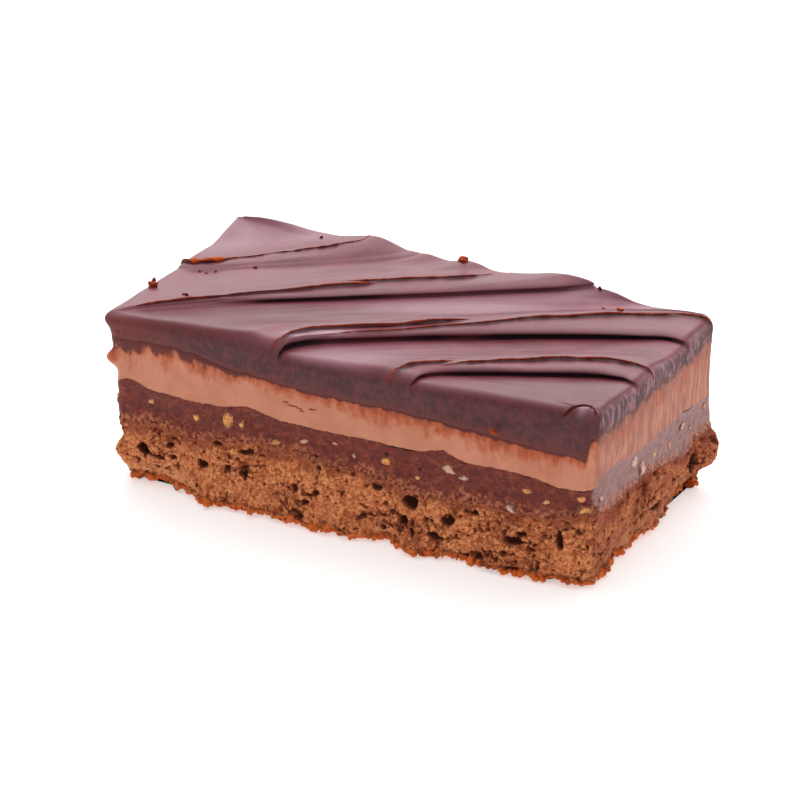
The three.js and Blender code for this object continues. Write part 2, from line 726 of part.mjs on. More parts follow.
function makeGanache() {
  const shell = new Shell();
  const rows = makeRows();
  const shares = rowShares();
  const grid = rows.map((row) => shares.map((t) => {
    const curl = smooth(t / CURL_FADE) * smooth((1 - t) / CURL_FADE);
    const across = row.acrossAt(t);
    const [x, y] = rowPoint(across + row.shiftAt(t) * curl, t);
    const backRise = readTable(BACK_EDGE_ACROSS, BACK_EDGE_RISE, across) * t ** BACK_EDGE_HOLD;
    const plain = mix(guideValue('leftTop', across), guideValue('rightTop', across), t) + backRise;
    const lift = row.lift * foldHeight(row.fold, t);
    return { index: shell.add(settle(x, y, plain + lift)), top: plain + lift, lift };
  }));
  for (let row = 1; row < rows.length; row += 1) {
    for (let column = 1; column < shares.length; column += 1) {
      const near = [grid[row - 1][column - 1].index, grid[row - 1][column].index];
      const far = [grid[row][column - 1].index, grid[row][column].index];
      shell.faces.push([near[0], near[1], far[1]]);
      shell.faces.push([near[0], far[1], far[0]]);
    }
  }
  const rim = ganacheRim(rows, shares, grid);
  const edgeRings = ganacheEdge(shell, rim);
  const seam = SEAMS.creamTop;
  const foot = shell.ring(STATIONS.map((along) => {
    return settledRim(along, seam.out, seamHeight(seam, along) + LAYER_GAP / 2);
  }));
  shell.stitch(foot, STATIONS, edgeRings[0], rim.map((place) => place.along));
  bandAll(shell, edgeRings);
  shell.band(edgeRings.at(-1), rim.map((place) => place.index));
  shell.cap(foot, seam.level + LAYER_GAP / 2, false);
  return shell.solid();
}

// The outer edge of the rows, once round the rim anticlockwise from its lowest place.
function ganacheRim(rows, shares, grid) {
  const lastRow = rows.length - 1;
  const lastColumn = shares.length - 1;
  const leftAlong = rows.map((row) => LENGTH - guideValue('left', row.acrossAt(0)));
  const rightAlong = rows.map((row) => LENGTH + guideValue('right', row.acrossAt(1)));
  const rim = [];
  const place = (row, column, along) => rim.push({ ...grid[row][column], along: modulo(along, GIRTH) });
  shares.forEach((t, column) => place(0, column, mix(leftAlong[0], rightAlong[0], t)));
  for (let row = 1; row < lastRow; row += 1) {
    place(row, lastColumn, rightAlong[row]);
  }
  for (let column = lastColumn; column >= 0; column -= 1) {
    place(lastRow, column, mix(leftAlong[lastRow] + GIRTH, rightAlong[lastRow], shares[column]));
  }
  for (let row = lastRow - 1; row > 0; row -= 1) {
    place(row, 0, leftAlong[row]);
  }
  const lowest = rim.reduce((best, entry, index) => (entry.along < rim[best].along ? index : best), 0);
  return [...rim.slice(lowest), ...rim.slice(0, lowest)];
}

// Rings down the rounded top edge and the wall, from the lowest to the highest. The edge
// drops further where a fold ends on it, and keeps only a share of the fold's height.
function ganacheEdge(shell, rim) {
  const dropAt = (lift) => TOP_EDGE.drop + (1 - TOP_EDGE.foldKept) * Math.max(0, lift);
  const wall = rim.map(({ along, top, lift }) => {
    const foot = seamHeight(SEAMS.creamTop, along) + LAYER_GAP / 2;
    const height = mix(foot, top - dropAt(lift), TOP_EDGE.wallShare);
    return settledRim(along, sumOfLumps(GANACHE_LUMPS, along, height), height);
  });
  const rounded = TOP_EDGE.turns.map((share) => rim.map(({ along, top, lift }) => {
    const angle = share * QUARTER_TURN;
    const height = top - dropAt(lift) * (1 - Math.cos(angle));
    const lump = sumOfLumps(GANACHE_LUMPS, along, height) * Math.sin(angle);
    return settledRim(along, lump - TOP_EDGE.inset * (1 - Math.sin(angle)), height);
  }));
  return [wall, ...rounded].map((points) => shell.ring(points));
}

// ---------------------------------------------------------------- the finished slice

function layerMesh(name, solid, colour, roughness) {
  const { vertProperties, triVerts } = solid.getMesh();
  const geometry = new THREE.BufferGeometry();
  geometry.setAttribute('position', new THREE.BufferAttribute(new Float32Array(vertProperties), 3));
  geometry.setIndex(new THREE.BufferAttribute(new Uint32Array(triVerts), 1));
  geometry.computeVertexNormals();
  const material = new THREE.MeshStandardMaterial({ color: colour, roughness, metalness: 0 });
  const mesh = new THREE.Mesh(geometry, material);
  mesh.name = name;
  return mesh;
}

const cake = new THREE.Group();
cake.name = 'praline_cake';
cake.add(layerMesh('sponge', makeSponge(), 0xa8643f, 0.95));
cake.add(layerMesh('praline', makePraline(), 0x6e423a, 0.7));
cake.add(layerMesh('cream', makeCream(), 0xc68970, 0.6));
cake.add(layerMesh('ganache', makeGanache(), 0x7a5054, 0.4));

export default cake;
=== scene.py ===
# %% [markdown]
# # The looks of a slice of praline cake
#
# The slice was cut from a sheet cake. From below it has a chocolate sponge, a band of praline with
# chopped nuts, a band of praline cream, and a ganache top that a spatula has left in slanting folds.
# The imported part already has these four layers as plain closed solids. This lesson replaces each of
# them by a finer skin of the same form, with crumb, pores, smears and folds, and gives each a finish
# made of shader nodes. The maker works in millimetres here, because that is how a cake is measured,
# and turns them into metres when a mesh is made.

import bpy
import numpy as np
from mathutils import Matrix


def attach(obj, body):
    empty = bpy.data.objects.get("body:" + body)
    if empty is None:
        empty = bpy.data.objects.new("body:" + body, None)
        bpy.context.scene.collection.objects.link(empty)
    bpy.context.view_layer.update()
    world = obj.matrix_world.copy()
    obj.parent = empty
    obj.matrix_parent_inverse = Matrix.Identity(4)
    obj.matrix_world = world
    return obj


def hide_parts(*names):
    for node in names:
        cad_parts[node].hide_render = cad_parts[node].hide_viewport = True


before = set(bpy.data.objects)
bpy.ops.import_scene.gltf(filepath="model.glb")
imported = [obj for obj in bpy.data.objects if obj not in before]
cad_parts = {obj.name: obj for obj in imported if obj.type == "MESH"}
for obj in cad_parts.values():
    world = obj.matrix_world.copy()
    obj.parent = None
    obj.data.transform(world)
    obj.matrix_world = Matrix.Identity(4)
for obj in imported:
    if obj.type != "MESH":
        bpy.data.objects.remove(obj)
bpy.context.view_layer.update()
MM = 0.001
print("layers in the part:", sorted(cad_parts))

# %% [markdown]
# ## The camera
#
# The camera comes first, since everything after it is judged through it. The slice is seen from the
# front right and from above, with a long lens, which keeps the far edges almost as long as the near
# ones. A camera could be placed by hand until the corners fit. Here its direction, distance and aim
# are numbers, so that the view can be checked and repeated.

# %% Place the camera
AZIMUTH, ELEVATION = np.radians([27.21, 24.78])
CAMERA_DISTANCE = 500
LENS, SENSOR = 118.73, 36
AIM_HEIGHT, AIM_RIGHT, AIM_UP = 17.7, -1.72, -1.19
BLOCK_MIDDLE = np.array([1.05, -1.3, 0])

backwards = np.array([
    np.sin(AZIMUTH) * np.cos(ELEVATION), -np.cos(AZIMUTH) * np.cos(ELEVATION), np.sin(ELEVATION)])
rightwards = np.array([np.cos(AZIMUTH), np.sin(AZIMUTH), 0])
upwards = np.cross(backwards, rightwards)
aim = np.array([0, 0, AIM_HEIGHT]) + AIM_RIGHT * rightwards + AIM_UP * upwards - BLOCK_MIDDLE
camera = bpy.data.objects.new("camera", bpy.data.cameras.new("camera"))
camera.data.lens, camera.data.sensor_width = LENS, SENSOR
camera.data.clip_start, camera.data.clip_end = 0.01, 20
camera.location = (aim + CAMERA_DISTANCE * backwards) * MM
camera.rotation_euler = (np.pi / 2 - ELEVATION, 0, AZIMUTH)
bpy.context.scene.collection.objects.link(camera)
bpy.context.scene.camera = camera
print("camera stands at", [round(v, 4) for v in camera.location])

# %% [markdown]
# ## The block and its places
#
# Everything on the slice is placed the way a baker would point at it: how far round the rim, and how
# high up. `along` runs anticlockwise from the front left corner: the front is 0 to 100, the right
# side 100 to 150, the back 150 to 250 and the left side 250 to 300. The corners are little arcs.
# The knife never cuts a true box, so `settle` then moves each point to where the cake really has it.
# These functions repeat the part's own, on whole arrays.

# %% Sizes of the block
LENGTH, WIDTH, CORNER_RADIUS = 100, 50, 2
GIRTH = 2 * (LENGTH + WIDTH)
BLOCK_TOP = 34
CORNERS = np.array([0, LENGTH, LENGTH + WIDTH, 2 * LENGTH + WIDTH])
# How far each corner stands away from a true rectangle: front left, front right, back left, back
# right, each as x and y, at the base and at the top.
BASE_SHIFTS = np.array([[1.4, -1.2], [-1.2, -0.8], [1.2, 0], [2.6, 0.3]])
TOP_SHIFTS = np.array([[-0.9, -0.4], [-1, 0.1], [-1.7, 0.4], [1.6, -0.5]])
BELLY_OUT, BELLY_TOP = 1.3, 18


def smooth(share):
    """An even rise from 0 to 1: three times the square less twice the cube."""
    held = np.clip(share, 0, 1)
    return held * held * (3 - 2 * held)


def mix(start, end, share):
    """A straight run from start to end."""
    return start + (end - start) * share


def rim_place(along, out=0.0):
    """x and y of a place on the rim, moved out by `out`: the centre of the nearest arc, or the
    straight side's own foot point, plus the radius and `out` in the direction that faces out."""
    along, out = np.broadcast_arrays(np.mod(along, GIRTH), out)
    side = np.searchsorted(CORNERS, along, side="right") - 1
    side_length = np.where(side % 2 == 0, LENGTH, WIDTH)
    run = along - CORNERS[side]
    early = np.clip(1 - run / CORNER_RADIUS, 0, 1)
    late = np.clip(1 - (side_length - run) / CORNER_RADIUS, 0, 1)
    angle = (side - 1 - 0.5 * early + 0.5 * late) * np.pi / 2
    middle = np.clip(run, CORNER_RADIUS, side_length - CORNER_RADIUS) - side_length / 2
    half_x, half_y = LENGTH / 2 - CORNER_RADIUS, WIDTH / 2 - CORNER_RADIUS
    x = np.choose(side, [middle, half_x, -middle, -half_x])
    y = np.choose(side, [-half_y, middle, half_y, -middle])
    reach = CORNER_RADIUS + out
    return x + reach * np.cos(angle), y + reach * np.sin(angle)


def settle(x, y, z):
    """Points of the true block, moved to where the cut cake has them: the corner shifts are spread
    evenly between the corners and up the height, the front bellies out low down, and the block's
    middle comes to the origin."""
    x, y, z = np.broadcast_arrays(x, y, z)
    right = np.clip(x / LENGTH + 0.5, 0, 1)[..., None]
    back = np.clip(y / WIDTH + 0.5, 0, 1)[..., None]
    base, top = [
        mix(mix(s[0], s[1], right), mix(s[2], s[3], right), back) for s in (BASE_SHIFTS, TOP_SHIFTS)]
    shift = mix(base, top, z[..., None] / BLOCK_TOP)
    belly = BELLY_OUT * smooth(1 - z / BELLY_TOP) * np.sin(np.pi * right[..., 0]) * (1 - back[..., 0])
    moved = np.stack([x + shift[..., 0], y + shift[..., 1] - belly, z + 0.0], -1)
    return moved - BLOCK_MIDDLE


def settled_rim(along, out, height):
    """A place on the rim, `out` from it and `height` up, on the cut cake."""
    x, y = rim_place(along, out)
    return settle(x, y, height)


def spots_on(along, height):
    """The same place on the true block, as the points at which noise and pits are read."""
    return np.stack(np.broadcast_arrays(*rim_place(along), height), -1)


print("girth of the block:", GIRTH, "mm; front left corner at", settled_rim(0.0, 0.0, 0.0).round(2))

# %% [markdown]
# ## Unevenness
#
# Cake is uneven in several ways, and each has its own function. *Ripples* are a few long waves round
# the rim, the same ones that shaped the part, so that the fine skins follow it. *Noise* is a lattice
# of random numbers, blended smoothly in between, for crumb and streaks. *Pits* are round hollows at
# random spots, one at most in each cell of a lattice, for pores. Random numbers could come from a
# generator, but numbers worked out from the lattice place itself don't depend on the mesh: a finer
# grid then shows the same cake.

# %% Ripples, noise and pits
WORD = 0xFFFFFFFF


def seeded_random(seed):
    """Even random numbers from 0 to 1, one after the other, the same as in the part's source."""
    state = seed
    while True:
        state = (state + 0x6D2B79F5) & WORD
        mixed = ((state ^ (state >> 15)) * (state | 1)) & WORD
        mixed ^= (mixed + ((mixed ^ (mixed >> 7)) * (mixed | 61))) & WORD
        yield ((mixed ^ (mixed >> 14)) & WORD) / (WORD + 1)


def make_ripples(seed, waves, longest, shortest):
    """A sum of sine waves with whole numbers of periods round the rim, scaled to about -1 to 1."""
    random = seeded_random(seed)
    lengths = np.linspace(longest, shortest, waves)
    draws = np.array([[next(random), next(random)] for _ in range(waves)])
    turns = np.maximum(1, np.round(GIRTH / lengths))
    rises = (draws[:, 0] - 0.5) * 2 / lengths
    sizes = np.sqrt(lengths / longest)
    total = np.sqrt((sizes ** 2).sum() / 2)

    def ripples(along, height):
        """The sum at a place on the rim: each wave leans as it goes up."""
        turn = turns * np.asarray(along)[..., None] / GIRTH + rises * np.asarray(height)[..., None]
        return (sizes * np.sin(2 * np.pi * (turn + draws[:, 1]))).sum(-1) / total / 2

    return ripples


def lattice_random(places, seed):
    """One random number from 0 to 1 for each whole-number place: its coordinates are multiplied by
    large odd numbers, combined and stirred, which always gives the same number again."""
    place = (places & WORD).astype(np.uint32)
    number = place[..., 0] * np.uint32(73856093) ^ place[..., 1] * np.uint32(19349663)
    number ^= place[..., 2] * np.uint32(83492791) ^ np.uint32(seed * 2654435761 & WORD)
    for shift, factor in ((15, 0x2C1B3C6D), (12, 0x297A2D39), (15, 0x85EBCA6B)):
        number = (number ^ (number >> np.uint32(shift))) * np.uint32(factor)
    return (number ^ (number >> np.uint32(13))) / WORD


def noise(points, seed):
    """Random numbers from -1 to 1 at whole-number places, blended smoothly across each cell."""
    low = np.floor(points).astype(np.int64)
    share = smooth(points - low)
    total = np.zeros(points.shape[:-1])
    for step in np.ndindex(2, 2, 2):
        weight = np.prod(np.where(step, share, 1 - share), -1)
        total += weight * lattice_random(low + np.array(step), seed)
    return 2 * total - 1


def crumbly(points, size, octaves, seed):
    """Noise of several sizes: each next one is half as large and half as strong."""
    return sum(noise(points * 2 ** n / size, seed + n) / 2 ** n for n in range(octaves))


def pits(points, cell, chance, seed, small=0.16, large=0.46):
    """Depth in mm of round hollows: a cell has one with this chance, at a random spot, with a
    radius between the small and the large share of the cell."""
    scaled = points / cell
    low = np.floor(scaled).astype(np.int64)
    deepest = np.zeros(points.shape[:-1])
    for step in np.ndindex(3, 3, 3):
        place = low + np.array(step) - 1
        spot = np.stack([lattice_random(place, seed + n) for n in range(3)], -1)
        radius = mix(small, large, lattice_random(place, seed + 3) ** 2)
        away = ((scaled - place - spot) ** 2).sum(-1)
        depth = np.sqrt(np.clip(radius ** 2 - away, 0, None))
        deepest = np.maximum(deepest, np.where(lattice_random(place, seed + 4) < chance, depth, 0))
    return deepest * cell


def clumps(points, size, seed):
    """Round clumps packed together, one random spot in each cell of a lattice: the gap between the
    distances to the nearest and the next nearest spot, which is 0 in the crevices between clumps."""
    scaled = points / size
    low = np.floor(scaled).astype(np.int64)
    first = np.full(points.shape[:-1], 9.0)
    second = first.copy()
    for step in np.ndindex(3, 3, 3):
        place = low + np.array(step) - 1
        spot = np.stack([lattice_random(place, seed + n) for n in range(3)], -1)
        away = np.sqrt(((scaled - place - spot) ** 2).sum(-1))
        second = np.minimum(second, np.maximum(first, away))
        first = np.minimum(first, away)
    return second - first


def rim_distance(first, second):
    """The shorter way round the rim between two places."""
    ahead = np.mod(np.asarray(first) - second, GIRTH)
    return np.minimum(ahead, GIRTH - ahead)


def hills(rows, along, height):
    """The sum of soft round hills and hollows, each given as (along, height, out, wide, tall)."""
    total = np.zeros(np.broadcast(along, height).shape)
    for at, level, out, wide, tall in rows:
        total += out * np.exp(-(rim_distance(along, at) / wide) ** 2 - ((height - level) / tall) ** 2)
    return total


print("noise at three places:", noise(np.array([[0.3, 0.2, 0.1], [4.5, 1, 2], [9, 9, 9.5]]), 1).round(3))

# %% [markdown]
# ## Seams between the layers
#
# A seam is where one layer lies on the next. Its height swells and dips round the rim, where the
# cut faces show it. The part's seams are smooth. Here each gets fine jags too, because crumb, nuts
# and smeared cream tear the edge under the knife. Both layers read the same function, so no gap
# opens between them.

# %% Heights of the seams
# Each swell is (along, rise, reach), and each jag (size, depth).
SEAMS = {
    "sponge_top": dict(level=12.6, ripple=0.35, out=-0.1, jags=[(3.4, 0.5), (1.3, 0.45), (0.6, 0.25)],
                       swells=[
        (14, 0.9, 9), (32, 1.9, 4), (39, 1.2, 6), (52, 0.7, 7), (68, -1.3, 9), (100, 2.6, 5), (121, 1.6, 8),
        (138, -1.5, 4), (172, 1.2, 8), (196, -1.1, 7), (222, 1.4, 9), (262, 1.1, 8), (284, -0.8, 6)]),
    "praline_top": dict(level=19.7, ripple=0.25, out=-0.3, jags=[(3.0, 0.2), (1.2, 0.16), (0.6, 0.1)],
                        swells=[
        (4, 1.8, 4), (30, 1.2, 4), (70, 1.1, 3), (94, -1.1, 6), (108, 1.4, 5), (152, -1.1, 7),
        (178, 1.1, 7), (199, -0.9, 6), (225, 1, 8), (270, 0.9, 7), (289, -0.6, 5)]),
    "cream_top": dict(level=29.4, ripple=0.3, out=0, jags=[(2.2, 0.22), (0.7, 0.12)], swells=[
        (11, 0.6, 5), (111, -0.5, 6), (147, 1.2, 5), (186, -0.9, 9), (214, 0.7, 8), (266, -0.8, 7)]),
}
# The knife dragged the ganache down over the cream along the front: between which places, and from how
# many mm at first to how many at last.
DRAG_START, DRAG_FULL, DRAG_END, DRAG_RELEASE = 18, 28, 99.4, 1.2
DRAG_FIRST, DRAG_LAST = 1.7, 4.2
# On the right face the knife tore the cream's top this many times deeper still.
SIDE_TEAR = 1.8
SEAM_RIPPLES = make_ripples(3, 5, 60, 16)


def seam_height(name, along):
    """Level, plus ripples, swells and fine jags, less the drag of the knife on the front face. The
    jags of the cream's top are deeper on the right face."""
    seam = SEAMS[name]
    along = np.mod(along, GIRTH)
    height = seam["level"] + seam["ripple"] * SEAM_RIPPLES(along, np.full(along.shape, seam["level"] * 5))
    for at, rise, reach in seam["swells"]:
        height += rise * np.exp(-(rim_distance(along, at) / reach) ** 2)
    if name == "cream_top":
        full = np.clip((along - DRAG_FULL) / (DRAG_END - DRAG_FULL), 0, 1)
        begun = smooth((along - DRAG_START) / (DRAG_FULL - DRAG_START))
        height -= begun * smooth((DRAG_END - along) / DRAG_RELEASE) * mix(DRAG_FIRST, DRAG_LAST, full)
    spots = spots_on(along, seam["level"])
    for number, (size, depth) in enumerate(seam["jags"]):
        if name == "cream_top":
            depth = depth * (1 + SIDE_TEAR * smooth((along - 101) / 3) * smooth((150 - along) / 3))
        height += depth * noise(spots / size, 50 + number)
    return height


for name in SEAMS:
    heights = seam_height(name, np.linspace(0, GIRTH, 400))
    print(name, "runs from", heights.min().round(1), "to", heights.max().round(1), "mm up")

# %% [markdown]
# ## From a grid to a mesh
#
# Each skin is a closed band: rings of points round the block, one above the other, with a lid and
# a floor that close it. numpy gives the points and the faces as whole arrays, and foreach_set puts
# them into the mesh in one go. What a finish has to know, such as how deep a pore is, goes along as
# an attribute of the points.

# %% Closed bands and pieces
# A lid's inner ring lies 3 mm in from the outline.
CAP_SHRINK = 1 - 3 / np.array([LENGTH / 2, WIDTH / 2])


def band_faces(first, second, columns):
    """Quads between two rings of the same number of points, given by their first point numbers."""
    here = np.arange(columns)
    there = (here + 1) % columns
    return np.stack([first + here, first + there, second + there, second + here], 1)


def fan_faces(ring, middle):
    """Triangles from each edge of a ring of point numbers to one middle point."""
    return np.stack([ring, np.roll(ring, -1), np.full(len(ring), middle)], 1)


def rim_grid(columns, rings):
    """Places round the rim and shares of the way up, as two arrays of rings by columns."""
    return np.meshgrid(np.arange(columns) * GIRTH / columns, np.linspace(0, 1, rings))


def closed_band(rings, floor_level, lid_level):
    """Points, quads and triangles of stacked rings (ring, column, xyz), closed below and above by
    way of an inner ring and a middle point at an even level."""
    count, columns = rings.shape[:2]
    points = [rings.reshape(-1, 3)]
    quads = [band_faces(n * columns, (n + 1) * columns, columns) for n in range(count - 1)]
    triangles = []
    used = count * columns
    for edge, level, upward in ((0, floor_level, False), ((count - 1) * columns, lid_level, True)):
        x, y = rim_place(np.arange(columns) * GIRTH / columns)
        inner = settle(x * CAP_SHRINK[0], y * CAP_SHRINK[1], np.full(columns, float(level)))
        points += [inner, settle(0.0, 0.0, float(level))[None]]
        ring = band_faces(edge, used, columns)
        fan = fan_faces(used + np.arange(columns), used + columns)
        quads.append(ring if upward else ring[:, ::-1])
        triangles.append(fan if upward else fan[:, ::-1])
        used += columns + 1
    return np.concatenate(points), np.concatenate(quads), np.concatenate(triangles)


def make_piece(name, points, quads, triangles, marks, slot, replaced=None, sharp=0):
    """A mesh object in metres from points in mm, with one float attribute for each of the marks,
    riding on the slice's one body. Edges of more than `sharp` degrees are shaded as sharp."""
    mesh = bpy.data.meshes.new(name)
    corners = np.concatenate([np.asarray(quads, int).ravel(), np.asarray(triangles, int).ravel()])
    sizes = np.concatenate([np.full(len(quads), 4), np.full(len(triangles), 3)])
    mesh.vertices.add(len(points))
    mesh.vertices.foreach_set("co", (points * MM).astype(np.float32).ravel())
    mesh.loops.add(len(corners))
    mesh.loops.foreach_set("vertex_index", corners.astype(np.int32))
    mesh.polygons.add(len(sizes))
    mesh.polygons.foreach_set("loop_start", np.concatenate([[0], np.cumsum(sizes)[:-1]]).astype(np.int32))
    mesh.update(calc_edges=True)
    mesh.shade_smooth()
    if sharp:
        mesh.set_sharp_from_angle(angle=np.radians(sharp))
    for mark, values in marks.items():
        whole = np.zeros(len(points), np.float32)
        whole[:len(values)] = values
        mesh.attributes.new(mark, "FLOAT", "POINT").data.foreach_set("value", whole)
    piece = bpy.data.objects.new(name, mesh)
    bpy.context.scene.collection.objects.link(piece)
    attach(piece, "root")
    if replaced:
        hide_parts(replaced)
    print(f"{name}: {len(points)} points, {2 * len(quads) + len(triangles)} triangles")
    return piece


# %% [markdown]
# ## The sponge
#
# Chocolate sponge is a foam that has set. The knife opens its bubbles, drags crumbs out of it, and
# leaves a broken foot that stands on nodules. A sculptor would work it by hand. Here its skin is a
# grid round the block that noise and pits push in and out, with the larger pores of the cut faces
# at places of their own. The grid's spacing is about a fifth of a millimetre, finer than most
# pores. What it can't hold, the grain, is left to the bump of its finish.

# %% Relief of the sponge
SPONGE_OUT, SPONGE_RELIEF = 0.3, 0.75
SPONGE_RIPPLES = make_ripples(21, 9, 24, 6.5)
FOOT_RIPPLES = make_ripples(22, 7, 18, 5.5)
# (along, height, out, wide, tall)
SPONGE_LUMPS = [
    (147, 7, 1.1, 3.4, 3.4), (299, 6.4, 1, 3, 1.8), (299, 10, -0.7, 3, 1.4), (0, 0, -2.4, 5, 3.2),
    (25, 1.4, 0.8, 9, 2.4), (66, 1.6, 0.4, 20, 2.4), (100, 0, -0.6, 4.5, 2), (117, 0, -1.7, 17, 6),
    (146, 0, -4.6, 11, 4.4), (10, 0, -3, 6, 5), (58.5, 0, -2.4, 3.5, 4), (73, 0, -1.5, 3, 3.5)]
# (along, height, radius along the rim, radius up, depth)
SPONGE_PORES = [
    (6.2, 7.7, 1.5, 1.5, 1.8), (19.5, 8, 1.2, 0.9, 1.2), (12.4, 7.2, 0.8, 0.5, 0.8),
    (40.2, 7.4, 0.9, 0.9, 1.1), (42.4, 5.4, 1.1, 0.6, 0.9), (64.2, 9.8, 1.4, 1.1, 1.6),
    (71.9, 8.1, 1.1, 1.2, 1.4), (77, 10.4, 0.9, 0.6, 1), (85.4, 7, 2, 0.7, 1.3),
    (94.2, 9, 0.8, 1.9, 1.7), (23, 12.6, 1.3, 0.6, 1), (29.4, 12, 1.5, 0.5, 1),
    (44.6, 7.6, 0.7, 0.7, 0.8), (57.1, 11, 1, 0.8, 1), (142, 7.6, 1, 2.4, 2),
    (126, 5.4, 1.6, 0.8, 1.2), (118.7, 5.6, 0.9, 1, 1), (133, 8, 1.2, 0.5, 0.9),
    (171, 6.8, 1.3, 1, 1.5), (197, 8.2, 1, 1.3, 1.3), (221, 5.6, 1.6, 0.9, 1.5),
    (268, 8, 1.1, 1.2, 1.4), (184, 9.5, 0.9, 0.7, 1), (209, 5, 1.2, 0.6, 1), (240, 8, 0.9, 0.9, 1),
    (281, 6, 1, 0.7, 1), (257, 5.5, 1.2, 0.8, 1)]


def on_right_face(along):
    """1 on the short cut face on the right, 0 elsewhere."""
    return smooth((along - 100) / 1.5) * smooth((151 - along) / 2)


def named_pores(along, height):
    """Depth of the larger pores: half of an oval each, with an edge that noise tears."""
    torn = 0.6 * crumbly(spots_on(along, height), 0.8, 2, 61)
    depth = np.zeros(np.shape(along))
    for at, level, wide, tall, deep in SPONGE_PORES:
        away = (rim_distance(along, at) / wide) ** 2 + ((height - level) / tall) ** 2 + torn
        depth = np.maximum(depth, deep * np.sqrt(np.clip(1 - away, 0, None)))
    return depth


def sponge_face(along, height):
    """How far the sponge stands out (the part's ripples and lumps), the rise of its coarse and fine
    crumb, and the depth of its pores: whichever is deepest of the crevices between clumps, the round
    pits, the torn rifts of three sizes and the larger pores."""
    spots = spots_on(along, height)
    out = SPONGE_OUT + SPONGE_RELIEF * SPONGE_RIPPLES(along, height) + hills(SPONGE_LUMPS, along, height)
    torn = spots + 0.35 * np.stack([noise(spots / 0.8, 23 + n) for n in range(3)], -1)
    crumb = 0.3 * crumbly(spots, 2.6, 2, 21) + 0.18 * crumbly(spots, 0.9, 2, 25)
    patchy = smooth(0.5 + 0.9 * noise(spots / 5, 27))
    crevices = 1 - smooth(clumps(torn * [1, 1, 1.4], 1.9, 35) / 0.22)
    crevices = 0.2 * crevices * smooth(2 * patchy - 0.9)
    pores = 0.8 * pits(torn * [1, 1, 1.25], 2.6, 0.05 + 0.15 * patchy, 31, 0.1, 0.34)
    for size, cut, seed in ((1.9, 0.7, 41), (1.0, 0.6, 45), (0.55, 0.6, 49)):
        rift = crumbly(torn * [1, 1, 1.35], size, 2, seed) + 0.35 * (patchy - 0.5)
        pores = np.maximum(pores, (0.5 + 0.9 * size) * np.clip(rift - cut, 0, 0.6))
    pores = np.maximum(pores, named_pores(along, height))
    return out, crumb, np.maximum(pores, crevices)


# %% Make the sponge
FOOT_HEIGHT, FOOT_INSET, NODULE_OUT = 1.1, 1.3, 1.3
# Depths in mm at which a finish paints a pore fully in shade, or paints a hollow fully with light.
PORE_DEPTH, HOLLOW_DEPTH = 0.75, 2.5


def sponge_skin(along, share):
    """The sponge's outer face: the crumb runs into the seam near its top, and rounds under itself
    at the foot, where nodules of crumb stand out. Marks: depth in a pore, where the finish paints
    shade; share of a hollow, where it paints light against the shade of the overhang; and how near
    the foot a point lies."""
    top = seam_height("sponge_top", along)
    height = share * top
    out, crumb, pores = sponge_face(along, height)
    spots = spots_on(along, height)
    nodules = pits(spots, 2.1, 0.8, 71, 0.36, 0.49)
    foot = FOOT_HEIGHT * (1 + 0.5 * FOOT_RIPPLES(along, top) + 0.7 * noise(spots * [0.5, 0.5, 0], 75))
    low = np.clip(1 - height / np.maximum(foot, 0.3), 0, 1)
    low_down = smooth(1 - height / (2.8 + noise(spots * [0.3, 0.3, 0], 77)))
    into_seam = smooth((share - 0.72) / 0.28)
    out = mix(out, SEAMS["sponge_top"]["out"] + 0.25, into_seam)
    free = 1 - smooth((share - 0.93) / 0.07)
    out = out + free * (crumb * (1 - 0.5 * low_down) - pores) + NODULE_OUT * nodules * low_down
    out = out - FOOT_INSET * low ** 1.6
    # The share of a hollow, which the finish paints paler: painted light against its overhang's shade.
    hollow = np.clip(-hills(SPONGE_LUMPS, along, height) / HOLLOW_DEPTH, 0, 1)
    return settled_rim(along, out, height), pores * free, hollow, low_down


along_grid, share_grid = rim_grid(1360, 61)
sponge_points, sponge_pores, sponge_lit_hollow, sponge_low = sponge_skin(along_grid, share_grid)
soak = smooth((share_grid - 0.7) / 0.3 + 0.45 * crumbly(sponge_points, 3, 3, 81))
sponge = make_piece(
    "sponge_crumb", *closed_band(sponge_points, 0, SEAMS["sponge_top"]["level"]),
    {"pore": np.clip(sponge_pores / PORE_DEPTH, 0, 1).ravel(), "hollow": sponge_lit_hollow.ravel(),
     "soak": soak.ravel(), "foot": sponge_low.ravel(), "aside": on_right_face(along_grid).ravel()},
    "sponge", "sponge")

# %% [markdown]
# ## The praline
#
# The praline band is a firm paste of chocolate and chopped nuts. The knife closes it to a fairly
# smooth face with small pits and drag marks. The nuts that it cuts through lie almost level with
# the face, so they are pieces of their own, sunk into it.

# %% Make the praline
PRALINE_OUT, PRALINE_RELIEF = -0.35, 0.35
PRALINE_RIPPLES = make_ripples(31, 7, 28, 8)
HOLE_DEPTH = 0.5
# (along, half length) of the cracks where the cream has come away from the praline
SEAM_CRACKS = [
    (62.5, 3.4), (73.7, 1.4), (86.5, 1.5), (91.5, 1.1), (98, 1.7), (139, 2), (207, 3), (252, 1.6)]


def between(low, high, along, share):
    """Height and steady stand-out of a face that spans two seams."""
    height = mix(seam_height(low, along), seam_height(high, along), share)
    return height, mix(SEAMS[low]["out"], SEAMS[high]["out"], share)


